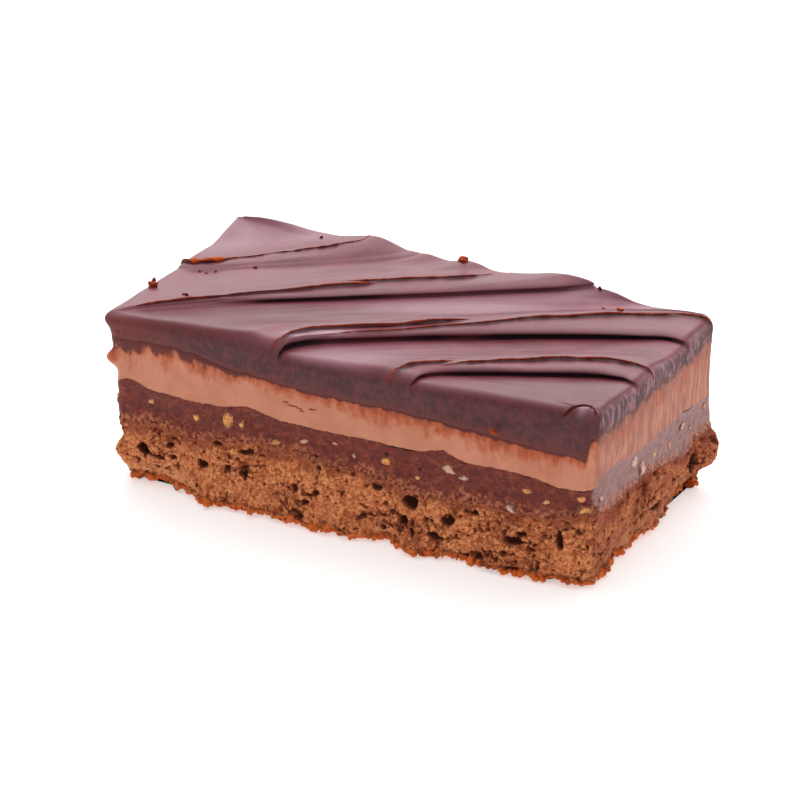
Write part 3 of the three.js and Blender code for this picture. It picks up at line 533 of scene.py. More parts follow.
def praline_skin(along, share):
    """The praline's outer face: the part's own relief, with small pits and fine lumps, more of them
    low down, and thin cracks under the cream. Mark: depth of the pits and cracks, which the finish
    darkens with painted shade."""
    height, out = between("sponge_top", "praline_top", along, share)
    spots = spots_on(along, height)
    free = np.sin(np.pi * share)
    low = smooth(1 - share / 0.4)
    holes = pits(spots * [1, 1, 1.3], 1.5, 0.12 + 0.4 * low, 91, 0.1, 0.36)
    rough = 0.07 * crumbly(spots, 1.6, 3, 95) + 0.16 * low * crumbly(spots, 1.3, 2, 97)
    edge = smooth(share / 0.06) * smooth((1 - share) / 0.06)
    cracks = sum(np.exp(-(rim_distance(along, at) / half) ** 4) for at, half in SEAM_CRACKS)
    cracks = cracks * smooth((share - 0.93) / 0.05) * smooth(0.7 + 1.5 * noise(spots / 1.2, 93))
    out = out + free * (PRALINE_OUT + PRALINE_RELIEF * PRALINE_RIPPLES(along, height))
    out = out + 0.25 * (1 - share) * (1 - edge) + edge * (rough - 0.8 * holes) - 0.4 * cracks
    return settled_rim(along, out, height), holes * edge + 0.6 * cracks


along_grid, share_grid = rim_grid(1200, 33)
praline_points, praline_holes = praline_skin(along_grid, share_grid)
praline = make_piece(
    "praline_paste",
    *closed_band(praline_points, SEAMS["sponge_top"]["level"] + 0.1, SEAMS["praline_top"]["level"] - 0.1),
    {"hole": np.clip(praline_holes / HOLE_DEPTH, 0, 1).ravel(), "low": (1 - share_grid).ravel(),
     "aside": on_right_face(along_grid).ravel()}, "praline", "praline", sharp=70)

# %% [markdown]
# ## The cream
#
# Praline cream is soft. The knife has wiped ganache down over its top edge in short tongues, and
# left a thin brown veil below them. The face itself is close to flat, so most of what shows is
# colour. The marks tell the finish how far below the seam each point lies, and the finish tears
# that distance into fine upright streaks, finer than the grid could hold.

# %% Make the cream
CREAM_RELIEF = 0.25
CREAM_RIPPLES = make_ripples(41, 6, 50, 14)
CREAM_LUMPS = [(299, 24.9, 1.7, 2.4, 1.5), (299, 22, -0.3, 3, 1.4)]
# Places along the rim, and how many mm below the seam the smeared ganache and then its thin brown
# veil reach there.
SMEAR_PLACES = [0, 3, 8, 17, 24, 34, 60, 99, 101, 108, 118, 131, 150, 175, 200, 230, 262, 288, 300]
SMEAR_REACH = [
    1.6, 2.6, 1.8, 1.9, 1, 0.5, 0.5, 0.6, 1.2, 1.3, 1, 0.9, 0.8, 1.2, 0.8, 1.2, 0.9, 1.5, 1.6]
VEIL_PLACES = [0, 10, 20, 30, 45, 60, 80, 96, 99.5, 101, 108, 118, 130, 150, 180, 300]
VEIL_REACH = [4.4, 4.2, 3.8, 2.4, 2.2, 3, 3.4, 3, 2.4, 4.6, 4.4, 4.6, 4.8, 5, 3.6, 4.4]
# (along, height, half length, half height) of the cracks that the knife tore
CREAM_CRACKS = [
    (39.6, 23, 1.7, 0.11), (43.5, 23.2, 0.8, 0.1), (41.4, 22.6, 0.8, 0.09), (37.8, 23.5, 0.8, 0.1),
    (190, 24.5, 2.2, 0.16), (243, 23, 1.6, 0.14), (270, 24.6, 1.4, 0.16)]


def cream_cracks(along, height):
    """Share of crack at each point: ovals, wavy and torn by noise."""
    wavy = 0.22 * noise(spots_on(along, 0.0) / 0.8, 105)
    total = np.zeros(np.shape(along))
    for at, level, wide, tall in CREAM_CRACKS:
        away = (rim_distance(along, at) / wide) ** 2 + ((height - level + wavy) / tall) ** 2
        total = np.maximum(total, smooth(1.6 - away))
    return total


def cream_skin(along, share):
    """The cream's outer face: the part's relief and lumps, with shallow drag marks that run down
    it. Marks: how far below the seam a point lies, in reaches of the smear and of the veil, and the
    share of crack, which the finish darkens with painted shade."""
    height, out = between("praline_top", "cream_top", along, share)
    spots = spots_on(along, height)
    below = seam_height("cream_top", along) - height
    smear = np.interp(along, SMEAR_PLACES, SMEAR_REACH) * (1 + 0.5 * noise(spots * [1.1, 1.1, 0.1], 101))
    veil = np.interp(along, VEIL_PLACES, VEIL_REACH) * (1 + 0.3 * noise(spots * [0.35, 0.35, 0.1], 103))
    free = np.sin(np.pi * share)
    out = out + free * (CREAM_RELIEF * CREAM_RIPPLES(along, height) + hills(CREAM_LUMPS, along, height))
    edge = smooth(share / 0.05) * smooth((1 - share) / 0.05)
    cracks = cream_cracks(along, height) * edge
    covered = smooth(1.3 - below / smear)
    drags = 0.07 * noise(spots * [1.3, 1.3, 0.15], 104) * smooth(1.4 - below / veil)
    out = out + edge * (0.05 * crumbly(spots, 2.4, 3, 107) + 0.1 * covered + drags) - 0.35 * cracks
    return settled_rim(along, out, height), below / smear, below / veil, cracks


along_grid, share_grid = rim_grid(1200, 37)
cream_points, cream_smear, cream_veil, cream_torn = cream_skin(along_grid, share_grid)
cream = make_piece(
    "cream_band",
    *closed_band(cream_points, SEAMS["praline_top"]["level"] + 0.1, SEAMS["cream_top"]["level"] - 0.1),
    {"smear": cream_smear.ravel(), "veil": cream_veil.ravel(), "crack": cream_torn.ravel(),
     "aside": on_right_face(along_grid).ravel()}, "cream", "cream", sharp=70)

# %% [markdown]
# ## The ganache
#
# A spatula was drawn slantwise over the ganache while it was setting. Each stroke pushed up a fold:
# the surface dips into a crevice, rolls back over it as a round brow, and ends in thin raised lips.
# The top is a grid whose rows lie along the strokes. Between the folds the rows are even, and at a
# fold they follow its profile, which curls over itself, so the crevices are real ones. A height
# field couldn't hold that overhang.

# %% Guides and folds
# Guides of the rows: place across the strokes, how far back along the rim from the near right corner
# the left end lies and how far on the right end, the height at each end, and the bow.
GUIDES = np.array([
    (-2.6, 0, 0, 34.2, 34.2, 0), (0, 6.4, 2.6, 34.1, 34.1, 0.8), (17.5, 40.5, 21.5, 32.9, 33.3, 2),
    (35.3, 66.5, 46, 33.3, 33.1, 3), (53.4, 102, 85, 34.4, 35.4, 0),
    (71.2, 127.5, 120.5, 34.2, 36, -1.6), (80, 138.5, 133.5, 34.4, 35.4, -1),
    (90, 150, 150, 37.1, 37.1, 0)])
GUIDE_BLUR = 1.2
FIRST_ROW, LAST_ROW, CORNER_BLEND = -1.4, 88.4, 9
# The rim of the top lies this far in from the walls and above their upper end.
EDGE_INSET, EDGE_DROP = 1.6, 2
FOLD_KEPT, FOLD_BULGE = 0.3, 0.25
# A high power keeps the bow nearly whole up to the ends of a row.
BOW_HOLD = 14
# (across, up) of a fold's profile from its near side to its far side. Its lip lies at LIP_ACROSS.
LIP_ACROSS = 3.2
FOLD_PROFILE = np.array([
    (-1.4, 0), (-0.3, -0.12), (0.35, -0.25), (0.15, 0.4), (-0.42, 0.95), (-0.2, 1.5), (0.6, 1.88),
    (2, 2), (2.9, 2.02), (3.5, 2.16), (4.6, 2.4)])
FOLD_PLACES = [0, 0.12, 0.5, 0.85, 1]
# lip: where the fold's lip lies; curl: how far it rolls over, which begins only at a share of its
# length where `rolled` says so; heights and widths along its length
FOLDS = [
    dict(lip=17.5, curl=1, heights=[0.65, 0.78, 0.84, 0.82, 0.5], widths=[0.75, 0.85, 1, 1.25, 1.5]),
    dict(lip=35.3, curl=1, heights=[1.1, 0.92, 0.94, 0.86, 0.55], widths=[0.8, 0.85, 1.2, 1.7, 1.9]),
    dict(lip=53.4, curl=0.9, rolled=0.34,
         heights=[0.1, 0.3, 0.56, 0.62, 0.75], widths=[0.7, 0.75, 1, 1.4, 1.8]),
    dict(lip=71.2, curl=0.1, heights=[0.2, 0.35, 0.45, 0.6, 0.75], widths=[0.6, 0.8, 1.4, 1.7, 1.7])]
# How dark the painted shade in each fold's crevice is along its row, as (share of the row, value) pairs.
DARKNESS = [
    [(0, 0.5), (0.1, 0.5), (0.2, 1), (0.95, 1), (1, 0.7)],
    [(0, 1), (0.06, 0.9), (0.12, 0.5), (0.27, 0.6), (0.36, 0.85), (0.46, 0.4), (0.52, 1), (0.96, 1),
     (1, 0.7)],
    [(0, 0), (0.14, 0.2), (0.26, 0.5), (0.34, 0.95), (0.54, 1), (0.6, 0.4), (0.78, 0.3), (0.9, 0.5),
     (1, 0.3)],
    [(0, 0.3), (1, 0.6)]]
# Thin lips on the folds. The spatula lifted off and came down again, so a fold may have a second lip
# that takes over. (fold number, first or second lip, where on the profile, strength), the last two
# as (share of the row, value) pairs.
LIPS = [
    (0, 0, [(0, 3.2), (0.3, 3.5)], [(0, 0.7), (0.05, 1), (0.17, 1), (0.24, 0)]),
    (0, 1, [(0.1, 2), (0.35, 3.3), (0.6, 3.9), (1, 3.7)],
     [(0.13, 0), (0.22, 0.6), (0.4, 0.9), (0.93, 1), (1, 0.7)]),
    (1, 0, [(0, 1.7), (0.04, 2.5), (0.1, 3.3), (0.45, 3.7)], [(0, 0.5), (0.05, 1), (0.4, 1.3), (0.48, 0)]),
    (1, 1, [(0.1, 1.5), (0.36, 2.3), (0.65, 3.5), (1, 3.8)],
     [(0.08, 0), (0.2, 0.4), (0.47, 0.7), (0.6, 1), (1, 0.8)]),
    (2, 0, [(0, 3.4), (0.5, 4), (1, 3.6)],
     [(0, 0), (0.04, 0.1), (0.1, 1), (0.25, 0.7), (0.57, 1), (0.63, 0)]),
    (2, 1, [(0.5, 5), (0.75, 4.2), (1, 4)], [(0.55, 0), (0.62, 0.8), (0.84, 0.9), (0.93, 0)]),
    (3, 0, [(0, 3.2), (1, 3.2)],
     [(0, 1.2), (0.14, 1.4), (0.22, 0.4), (0.5, 0.35), (0.8, 0.9), (0.95, 0.2)])]
# A lip's height at full strength, how far it leans, and how far its near and far sides reach.
LIP_HEIGHT, LIP_LEAN, LIP_NEAR, LIP_FAR = 0.5, 0.34, 0.17, 0.55
# Rises of the top's back edge: (place across, rise in mm), which fade away from that edge.
BACK_EDGE = np.array([
    (36, 0), (38, 0.2), (44, 0.45), (46.7, 1.8), (48.5, 1.5), (52.5, 0.7), (53.5, 0), (56, -1.5),
    (58, -1.2), (59.5, 0), (60.9, 0.4), (62.3, 0), (65, 0.7), (67.5, -0.2), (70, 0.6), (74, -0.55),
    (78.4, 0), (83, 0.95), (86, 0.9), (88.4, 0.1)])
BACK_EDGE_HOLD = 10
SPAN_STEPS = 24


def guide_value(column, across):
    """A guide's column read at `across`, slightly blurred so that the rows have no kink."""
    steps = np.linspace(-1, 1, 5) * GUIDE_BLUR
    return np.mean([np.interp(across + s, GUIDES[:, 0], GUIDES[:, column]) for s in steps], 0)


def row_place(across, t):
    """x and y on the row at `across`, at share t of its way: a bowed line between two places on
    the rim, which leans over into the rounded outline next to the two corners."""
    left, right = LENGTH - guide_value(1, across), LENGTH + guide_value(2, across)
    start = np.stack(rim_place(left, -EDGE_INSET), -1)
    end = np.stack(rim_place(right, -EDGE_INSET), -1)
    chord = end - start
    size = np.hypot(chord[..., 0], chord[..., 1])
    bow = guide_value(5, across) * (1 - (2 * t - 1) ** BOW_HOLD) / size
    place = start + t[..., None] * chord
    place = place + bow[..., None] * np.stack([-chord[..., 1], chord[..., 0]], -1)
    near = np.clip(1 - (across - FIRST_ROW) / CORNER_BLEND, 0, 1)[..., None] ** 2
    far = np.clip(1 - (LAST_ROW - across) / CORNER_BLEND, 0, 1)[..., None] ** 2
    near_arc = np.stack(rim_place(mix(left, right, t), -EDGE_INSET), -1)
    far_arc = np.stack(rim_place(mix(left + GIRTH, right, t), -EDGE_INSET), -1)
    return place + near * (near_arc - place) + far * (far_arc - place)


def curve_through(knots, count):
    """`count` points evenly spaced on a smooth curve through the knots: each span is a cubic whose
    slope at a knot is half the step between that knot's neighbours."""
    padded = np.concatenate([2 * knots[:1] - knots[1:2], knots, 2 * knots[-1:] - knots[-2:-1]])
    a, b, c, d = padded[:-3], padded[1:-2], padded[2:-1], padded[3:]
    s = np.linspace(0, 1, SPAN_STEPS, endpoint=False)[None, :, None]
    a, b, c, d = (k[:, None] for k in (a, b, c, d))
    fine = 0.5 * (2 * b + (c - a) * s + (2 * a - 5 * b + 4 * c - d) * s ** 2
                  + (3 * b - a - 3 * c + d) * s ** 3)
    fine = np.concatenate([fine.reshape(-1, knots.shape[1]), knots[-1:]])
    run = np.concatenate([[0], np.cumsum(np.linalg.norm(np.diff(fine, axis=0), axis=1))])
    even = np.linspace(0, run[-1], count)
    return np.stack([np.interp(even, run, fine[:, n]) for n in range(knots.shape[1])], -1)


def eased(places, values, at):
    """A table read with a smooth run between its entries: a cubic in each gap that has the table's
    own slope at both of its ends."""
    places, values = np.asarray(places, float), np.asarray(values, float)
    index = np.clip(np.searchsorted(places, at, side="right") - 1, 0, len(places) - 2)
    share = (at - places[index]) / (places[index + 1] - places[index])
    slope = np.gradient(values, places)
    gap = places[index + 1] - places[index]
    h = np.clip(share, 0, 1)
    return ((1 + 2 * h) * (1 - h) ** 2 * values[index] + h * (1 - h) ** 2 * gap * slope[index]
            + h * h * (3 - 2 * h) * values[index + 1] + h * h * (h - 1) * gap * slope[index + 1])


# %% Rows of the ganache's top
# A fold's profile has FOLD_ROWS rows up to LIP_FROM and LIP_ROWS after it. Between the folds the rows
# are PLAIN_SPACING apart, and near the front corner, up to CORNER_REACH, they are closer.
ROW_COLUMNS, FOLD_ROWS, LIP_ROWS, LIP_FROM = 140, 32, 20, 1.2
PLAIN_SPACING, CORNER_SPACING, CORNER_REACH = 0.5, 0.17, 5.5
PROFILE_POINTS, LIFT_FALL = 600, 1.4
even = np.linspace(0, 1, ROW_COLUMNS)
T = mix(even, 0.5 - 0.5 * np.cos(np.pi * even), 0.6)
fine = curve_through(FOLD_PROFILE, PROFILE_POINTS)
fine_spread = np.linspace(FOLD_PROFILE[0, 0], FOLD_PROFILE[-1, 0], PROFILE_POINTS)
SPREAD = np.concatenate([np.linspace(FOLD_PROFILE[0, 0], LIP_FROM, FOLD_ROWS, endpoint=False),
                         np.linspace(LIP_FROM, FOLD_PROFILE[-1, 0], LIP_ROWS)])
PROFILE = np.stack([np.interp(SPREAD, fine_spread, fine[:, n]) for n in range(2)], -1)


def fold_rows():
    """For all rows from near to far: place across the strokes, sideways shift of the curl, lift above
    the plain surface, and the share of painted shade in the crevice, each at every share of the row's
    length. Past a fold the ganache falls away to the next one."""
    begin, lift, none = np.full(ROW_COLUMNS, float(FIRST_ROW)), 0 * T, 0 * T
    rows = [(begin, none, none, none)]
    for place in np.arange(FIRST_ROW + CORNER_SPACING, CORNER_REACH, CORNER_SPACING):
        begin = np.full(ROW_COLUMNS, place)
        rows.append((begin, none, none, none))

    def plain_rows(begin, end, lift, more):
        """Even rows from one place to another, over which what is left of a fold's lift falls away."""
        steps = int(np.ceil((end - begin).mean() / PLAIN_SPACING))
        for step in range(1, steps + more):
            rows.append((mix(begin, end, step / steps), none, lift * (1 - step / steps) ** LIFT_FALL, none))

    for fold, darkness in zip(FOLDS, DARKNESS):
        height = eased(FOLD_PLACES, fold["heights"], T)
        width = eased(FOLD_PLACES, fold["widths"], T)
        dark = np.interp(T, *zip(*darkness))
        curl = fold["curl"] * (1 - 0.4 * smooth((T - 0.9) / 0.1))
        if "rolled" in fold:
            curl = curl * mix(0.15, 1, smooth((T - fold["rolled"] + 0.16) / 0.2))
        plain_rows(begin, fold["lip"] + (SPREAD[0] - LIP_ACROSS) * width, lift, 0)
        for (true, up), spread in zip(PROFILE, SPREAD):
            # The share of painted shade in the crevice, which also stills the waves there.
            deep = smooth((spread + 0.6) / 0.4) * (1 - smooth((spread - 0.1) / 1.8)) * dark
            rows.append((fold["lip"] + (spread - LIP_ACROSS) * width, curl * (true - spread) * width,
                         up * height, deep * smooth(curl * height * 2.4)))
        begin, lift = fold["lip"] + (SPREAD[-1] - LIP_ACROSS) * width, FOLD_PROFILE[-1, 1] * height
    plain_rows(begin, LAST_ROW, lift, 1)
    return [np.array(part) for part in zip(*rows)]


def lip_rows(across):
    """The lips over all rows: their height as a share, and for the first and the second lips how far
    a point lies beyond the crest in mm and how strong the lip is there. A crest is steep on the near
    side and trails off on the far side."""
    crests = np.zeros(across.shape)
    beyond, strong = np.full((2,) + across.shape, 3.0), np.zeros((2,) + across.shape)
    for number, order, places, strengths in LIPS:
        width = eased(FOLD_PLACES, FOLDS[number]["widths"], T)
        at = np.interp(T, *zip(*places)) + 0.08 * np.sin(31 * T + 2 * number)
        away = across - (FOLDS[number]["lip"] + (at - LIP_ACROSS) * width)
        strength = np.interp(T, *zip(*strengths)) * (0.9 + 0.15 * np.sin(47 * T + 3 * number))
        steep, trailing = np.exp(-(away / LIP_NEAR) ** 2), np.exp(-(np.abs(away) / LIP_FAR) ** 1.3)
        crest = np.where(away < 0, steep, trailing)
        crests = np.maximum(crests, strength * crest)
        near = np.abs(away) < 2
        beyond[order] = np.where(near, away, beyond[order])
        strong[order] = np.where(near, strength, strong[order])
    return crests, beyond, strong


ACROSS, SHIFT, LIFT, CREVICE_SHADE = fold_rows()
LIP, BEYOND, STRONG = lip_rows(ACROSS)
SHIFT = SHIFT - LIP_LEAN * LIP
T_GRID = np.broadcast_to(T, ACROSS.shape)
TRUE_ACROSS = ACROSS + SHIFT
PLAIN = mix(guide_value(3, ACROSS), guide_value(4, ACROSS), T_GRID)
place = row_place(TRUE_ACROSS, T_GRID)
strokes = np.stack([TRUE_ACROSS / 0.9, T_GRID * 3.5, np.zeros(T_GRID.shape)], -1)
broad = np.stack([TRUE_ACROSS / 5, T_GRID * 6, np.zeros(T_GRID.shape)], -1)
WAVES = 0.03 * crumbly(strokes, 1, 2, 111) + 0.14 * noise(broad, 115)
BACK_RISE = eased(*BACK_EDGE.T, np.clip(ACROSS, BACK_EDGE[0, 0], None)) * T_GRID ** BACK_EDGE_HOLD
CURL_PLACE, CURL_RADII, CURL_RISE = (47.2, -25.5), (3.4, 3.0), 0.8


def corner_curl(x, y):
    """The ganache's corner is pressed off by an arched fold. Rise in mm of the low dome inside the
    arch and of the groove under it, from the distance to the dome's middle in radii."""
    away = np.hypot((x - CURL_PLACE[0]) / CURL_RADII[0], (y - CURL_PLACE[1]) / CURL_RADII[1])
    return CURL_RISE * (smooth((1 - away) / 0.5) * 0.6 - 0.35 * np.exp(-((away - 0.93) / 0.14) ** 2))


TOP = PLAIN + LIFT + LIP_HEIGHT * LIP + WAVES * smooth(1 - CREVICE_SHADE) + BACK_RISE
top_points = settle(place[..., 0], place[..., 1], TOP + corner_curl(place[..., 0], place[..., 1]))
print("the top has", ACROSS.shape[0], "rows of", ROW_COLUMNS, "points")

# %% [markdown]
# The top's outer edge is a rim that runs once round the block. From it the ganache rounds over and
# falls as a wall to the seam with the cream. The rim keeps the rows' own points, so each fold runs
# over the edge and down the side as it does on the real one.

# %% Rounded edge and wall of the ganache
EDGE_RINGS, WALL_RINGS = 7, 22
GANACHE_LUMPS = [(299, 32.8, 1, 3.4, 1.5), (60, 31, 0.4, 45, 3)]
CHIP_DEPTH = 0.3


def rim_order(rows, columns):
    """Row and column of each point on the top's outer edge, anticlockwise from the near corner."""
    near = [(0, c) for c in range(columns)]
    right = [(r, columns - 1) for r in range(1, rows - 1)]
    far = [(rows - 1, c) for c in range(columns - 1, -1, -1)]
    left = [(r, 0) for r in range(rows - 2, 0, -1)]
    return np.array(near + right + far + left).T


rim_rows, rim_columns = rim_order(*ACROSS.shape)
RIM_ACROSS, RIM_SHIFT = ACROSS[rim_rows, rim_columns], SHIFT[rim_rows, rim_columns]
RIM_T = T_GRID[rim_rows, rim_columns]
RIM_TOP = TOP[rim_rows, rim_columns]
RIM_LIFT = np.maximum(0, LIFT[rim_rows, rim_columns])
ON_FAR_ROW = rim_rows == ACROSS.shape[0] - 1
CURL_REACH = 1.35


def rim_along(kept):
    """Place round the rim of each rim point when this share of the curl's shift is kept."""
    across = RIM_ACROSS + kept * RIM_SHIFT
    left = LENGTH - guide_value(1, across) + np.where(ON_FAR_ROW, GIRTH, 0)
    return mix(left, LENGTH + guide_value(2, across), RIM_T)


def ganache_wall(share):
    """One ring of the wall: share 0 is the rim, 1 the foot of the rounding, 2 the seam. A fold
    keeps its curl over the edge and loses it on the way down, where it also bulges a little."""
    along = rim_along(1 - smooth(share / CURL_REACH))
    drop = EDGE_DROP + (1 - FOLD_KEPT) * RIM_LIFT
    angle = min(share, 1) * np.pi / 2
    height = RIM_TOP - drop * (1 - np.cos(angle))
    if share > 1:
        height = mix(height, seam_height("cream_top", along), share - 1)
    out = -EDGE_INSET * (1 - np.sin(angle))
    out = out + hills(GANACHE_LUMPS, along, height) * np.sin(angle) * min(1, (2 - share) * 3)
    out = out + FOLD_BULGE * np.minimum(RIM_LIFT, 2) * np.sin(angle) * (1 - smooth((share - 0.5) / 1.1))
    height = height + corner_curl(*rim_place(along, out)) * (1 - smooth(share / 1.1))
    spots = spots_on(along, height)
    carved = 0.05 * noise(spots * [2.2, 2.2, 0.2], 121) + 0.07 * crumbly(spots, 3.5, 3, 122)
    chips = pits(spots * [1.2, 1.2, 0.8], 1.4, 0.14, 125, 0.1, 0.26)
    held = smooth((share - 0.4) / 0.8) * min(1, (2 - share) * 6)
    return settled_rim(along, out + held * (carved - 0.6 * chips), height), chips * held


steps = np.concatenate([np.linspace(0, 1, EDGE_RINGS + 1)[1:], 1 + np.linspace(0, 1, WALL_RINGS + 1)[1:]])
walls = [ganache_wall(share) for share in steps]
rim_count, top_count = len(rim_rows), ACROSS.size
numbers = np.arange(top_count).reshape(ACROSS.shape)
top_quads = np.stack(
    [numbers[:-1, :-1], numbers[:-1, 1:], numbers[1:, 1:], numbers[1:, :-1]], -1).reshape(-1, 4)
ring_numbers = [numbers[rim_rows, rim_columns]]
for n in range(len(steps)):
    ring_numbers.append(top_count + n * rim_count + np.arange(rim_count))
wall_quads = [np.stack([lower, np.roll(lower, -1), np.roll(upper, -1), upper], 1)
              for upper, lower in zip(ring_numbers[:-1], ring_numbers[1:])]
floor_first = top_count + len(steps) * rim_count
floor_level = SEAMS["cream_top"]["level"] + 0.1
x, y = rim_place(rim_along(0))
inner = settle(x * CAP_SHRINK[0], y * CAP_SHRINK[1], np.full(rim_count, floor_level))
outer, inside = ring_numbers[-1], floor_first + np.arange(rim_count)
floor_quads = np.stack([outer, inside, np.roll(inside, -1), np.roll(outer, -1)], 1)
floor_fan = fan_faces(inside, floor_first + rim_count)[:, [1, 0, 2]]
ganache_points = np.concatenate(
    [top_points.reshape(-1, 3)] + [w[0] for w in walls] + [inner, settle(0.0, 0.0, floor_level)[None]])


def mark_of(top, ring):
    """A mark's values on the top's grid, then on each ring of the wall from a function of its share."""
    return np.concatenate([np.ravel(top)] + [np.broadcast_to(ring(share), rim_count) for share in steps])


def down_the_wall(grid):
    """A mark of the top's points, carried over the edge and faded out down the wall."""
    return mark_of(grid, lambda share: grid[rim_rows, rim_columns] * (1 - smooth(share / 1.1)))


def along_the_wall(grid):
    """A mark of the top's points, kept all the way down the wall."""
    return mark_of(grid, lambda share: grid[rim_rows, rim_columns])


def right_of_ring(share):
    """How far each point of one ring of the wall is on the right face."""
    return on_right_face(np.mod(rim_along(1 - smooth(share / CURL_REACH)), GIRTH))


# Painted sheen: a pale patch on the left end of the second fold's brow, and one on the corner's dome.
x, y = place[..., 0], place[..., 1]
dome_top = np.exp(-((x - CURL_PLACE[0] + 0.3) / 1.1) ** 2 - ((y + 23.7) / 0.5) ** 2)
brow_sheen = np.exp(-((ACROSS - 34.1) / 0.8) ** 2)
brow_sheen = brow_sheen * smooth((T_GRID - 0.01) / 0.03) * smooth((0.2 - T_GRID) / 0.08)
NONE = np.zeros(ACROSS.shape)
ROW_SIZE = np.hypot(*(row_place(ACROSS, NONE + 1) - row_place(ACROSS, NONE)).T).T
chips = np.concatenate([NONE.ravel()] + [w[1] for w in walls])
ganache = make_piece(
    "ganache_top", ganache_points, np.concatenate([top_quads] + wall_quads + [floor_quads]), floor_fan,
    {"wall": mark_of(NONE, lambda share: smooth((share - 0.15) / 0.75)),
     "chip": (chips / CHIP_DEPTH).clip(0, 1), "low": mark_of(NONE, lambda share: max(0, share - 1)),
     "crevice": down_the_wall(CREVICE_SHADE), "across": along_the_wall(ACROSS),
     "run": along_the_wall(T_GRID * ROW_SIZE), "sheen": down_the_wall(np.maximum(dome_top, brow_sheen)),
     "aside": mark_of(NONE, right_of_ring),
     "beyond": along_the_wall(BEYOND[0]), "lip": down_the_wall(STRONG[0]),
     "beyond_second": along_the_wall(BEYOND[1]), "lip_second": down_the_wall(STRONG[1])},
    "ganache", "ganache", sharp=70)

# %% [markdown]
# The lips on the folds are thinner than anything else on the slice, and drier than the satin skin
# round them, so they are matt. Light shines through them, and that glow is painted into their colour,
# so they show as thin reddish lines. Each is a slender tube that follows the crest of its fold over
# the top and a little way down the wall at both ends. It lies half sunk in the ganache, swells and
# thins with the lip's strength, and ends in a point. One more tube is the arch that closes off the
# pressed corner.

# %% Make the lips of the folds
LIP_AROUND, LIP_HALF_WIDTH, LIP_HALF_HEIGHT = 8, 0.2, 0.17
# How warm each fold's lips are along its row, as (share of the row, value) pairs: how much painted glow
# of the light through them they get. From CHUNK_WARMTH on a lip is a dry orange chunk, up to CHUNK_MORE
# times thicker still.
WARMTH = [
    [(0, 0.6), (0.2, 0.7), (0.25, 0.35), (1, 0.3)],
    [(0, 0.5), (0.5, 0.45), (0.55, 0.3), (0.85, 0.6), (1, 0.5)],
    [(0, 0.5), (0.12, 0.5), (0.3, 0.2), (0.55, 0.6), (1, 0.5)],
    [(0, 0.6), (0.03, 1), (0.19, 1), (0.24, 0.35), (0.6, 0.2), (1, 0.6)]]
CHUNK_WARMTH, CHUNK_MORE = 0.9, 1.4
# x, y and height of the arch at the pressed corner, before the block has settled
ARCH = np.array([
    (43.4, -25.05, 31.9), (43.6, -25.05, 32.3), (43.9, -24.95, 32.9), (44.35, -24.6, 33.6),
    (44.9, -24.05, 34.1), (45.7, -23.35, 34.3), (46.5, -22.85, 34.35), (47.6, -22.85, 34.35),
    (48.4, -23.3, 34.3), (49.1, -23.8, 33.95), (49.75, -24.1, 33.3)])
ARCH_RINGS, ARCH_HALF_WIDTH, ARCH_HALF_HEIGHT, ARCH_WARMTH = 48, 0.26, 0.24, 0.05


def end_of_crest(crest, column):
    """Points where a crest that ends at `crest` across the strokes goes down the wall: on each ring,
    the first point beyond it."""
    side = rim_columns == column % ACROSS.shape[1]
    order = np.argsort(RIM_ACROSS[side])
    rings = np.stack([ring[0][side][order] for ring in walls[:EDGE_RINGS]])
    index = np.searchsorted(RIM_ACROSS[side][order], crest)
    return rings[:, index]


def lip_path(number, places, strengths):
    """Points along a lip's crest, from wall to wall, and the lip's strength and warmth at each."""
    width = eased(FOLD_PLACES, FOLDS[number]["widths"], T)
    at = np.interp(T, *zip(*places)) + 0.08 * np.sin(31 * T + 2 * number)
    crest = FOLDS[number]["lip"] + (at - LIP_ACROSS) * width
    above = (ACROSS < crest).sum(0)
    column = np.arange(ROW_COLUMNS)
    near, far = ACROSS[above - 1, column], ACROSS[above, column]
    share = ((crest - near) / (far - near))[:, None]
    top = mix(top_points[above - 1, column], top_points[above, column], share)
    strength = np.interp(T, *zip(*strengths))
    warmth = np.interp(T, *zip(*WARMTH[number]))
    fade = 1 - steps[:EDGE_RINGS] / 1.02
    path = np.concatenate([end_of_crest(crest[0], 0)[::-1], top, end_of_crest(crest[-1], -1)])
    strength = np.concatenate([strength[0] * fade[::-1], strength, strength[-1] * fade])
    warmth = np.concatenate([np.full(EDGE_RINGS, warmth[0]), warmth, np.full(EDGE_RINGS, warmth[-1])])
    kept = strength > 0.01
    return path[kept], strength[kept], warmth[kept]


def tube(path, half_width, half_height, around):
    """A closed tube round a path: rings of points, faces between them, and a fan at each end."""
    ahead = np.gradient(path, axis=0)
    ahead /= np.linalg.norm(ahead, axis=1, keepdims=True)
    across = np.cross(ahead, [0.0, 0, 1])
    across /= np.linalg.norm(across, axis=1, keepdims=True)
    up = np.cross(across, ahead)
    turn = np.arange(around) * 2 * np.pi / around
    ring = (np.cos(turn)[:, None] * across[:, None] * half_width[:, None, None]
            + np.sin(turn)[:, None] * up[:, None] * half_height[:, None, None])
    points = np.concatenate([(path[:, None] + ring).reshape(-1, 3), path[[0, -1]]])
    quads = [band_faces(n * around, (n + 1) * around, around)[:, ::-1] for n in range(len(path) - 1)]
    first, count = np.arange(around), len(path) * around
    last = first + count - around
    fans = [fan_faces(first, count), fan_faces(last, count + 1)[:, [1, 0, 2]]]
    return points, np.concatenate(quads), np.concatenate(fans)


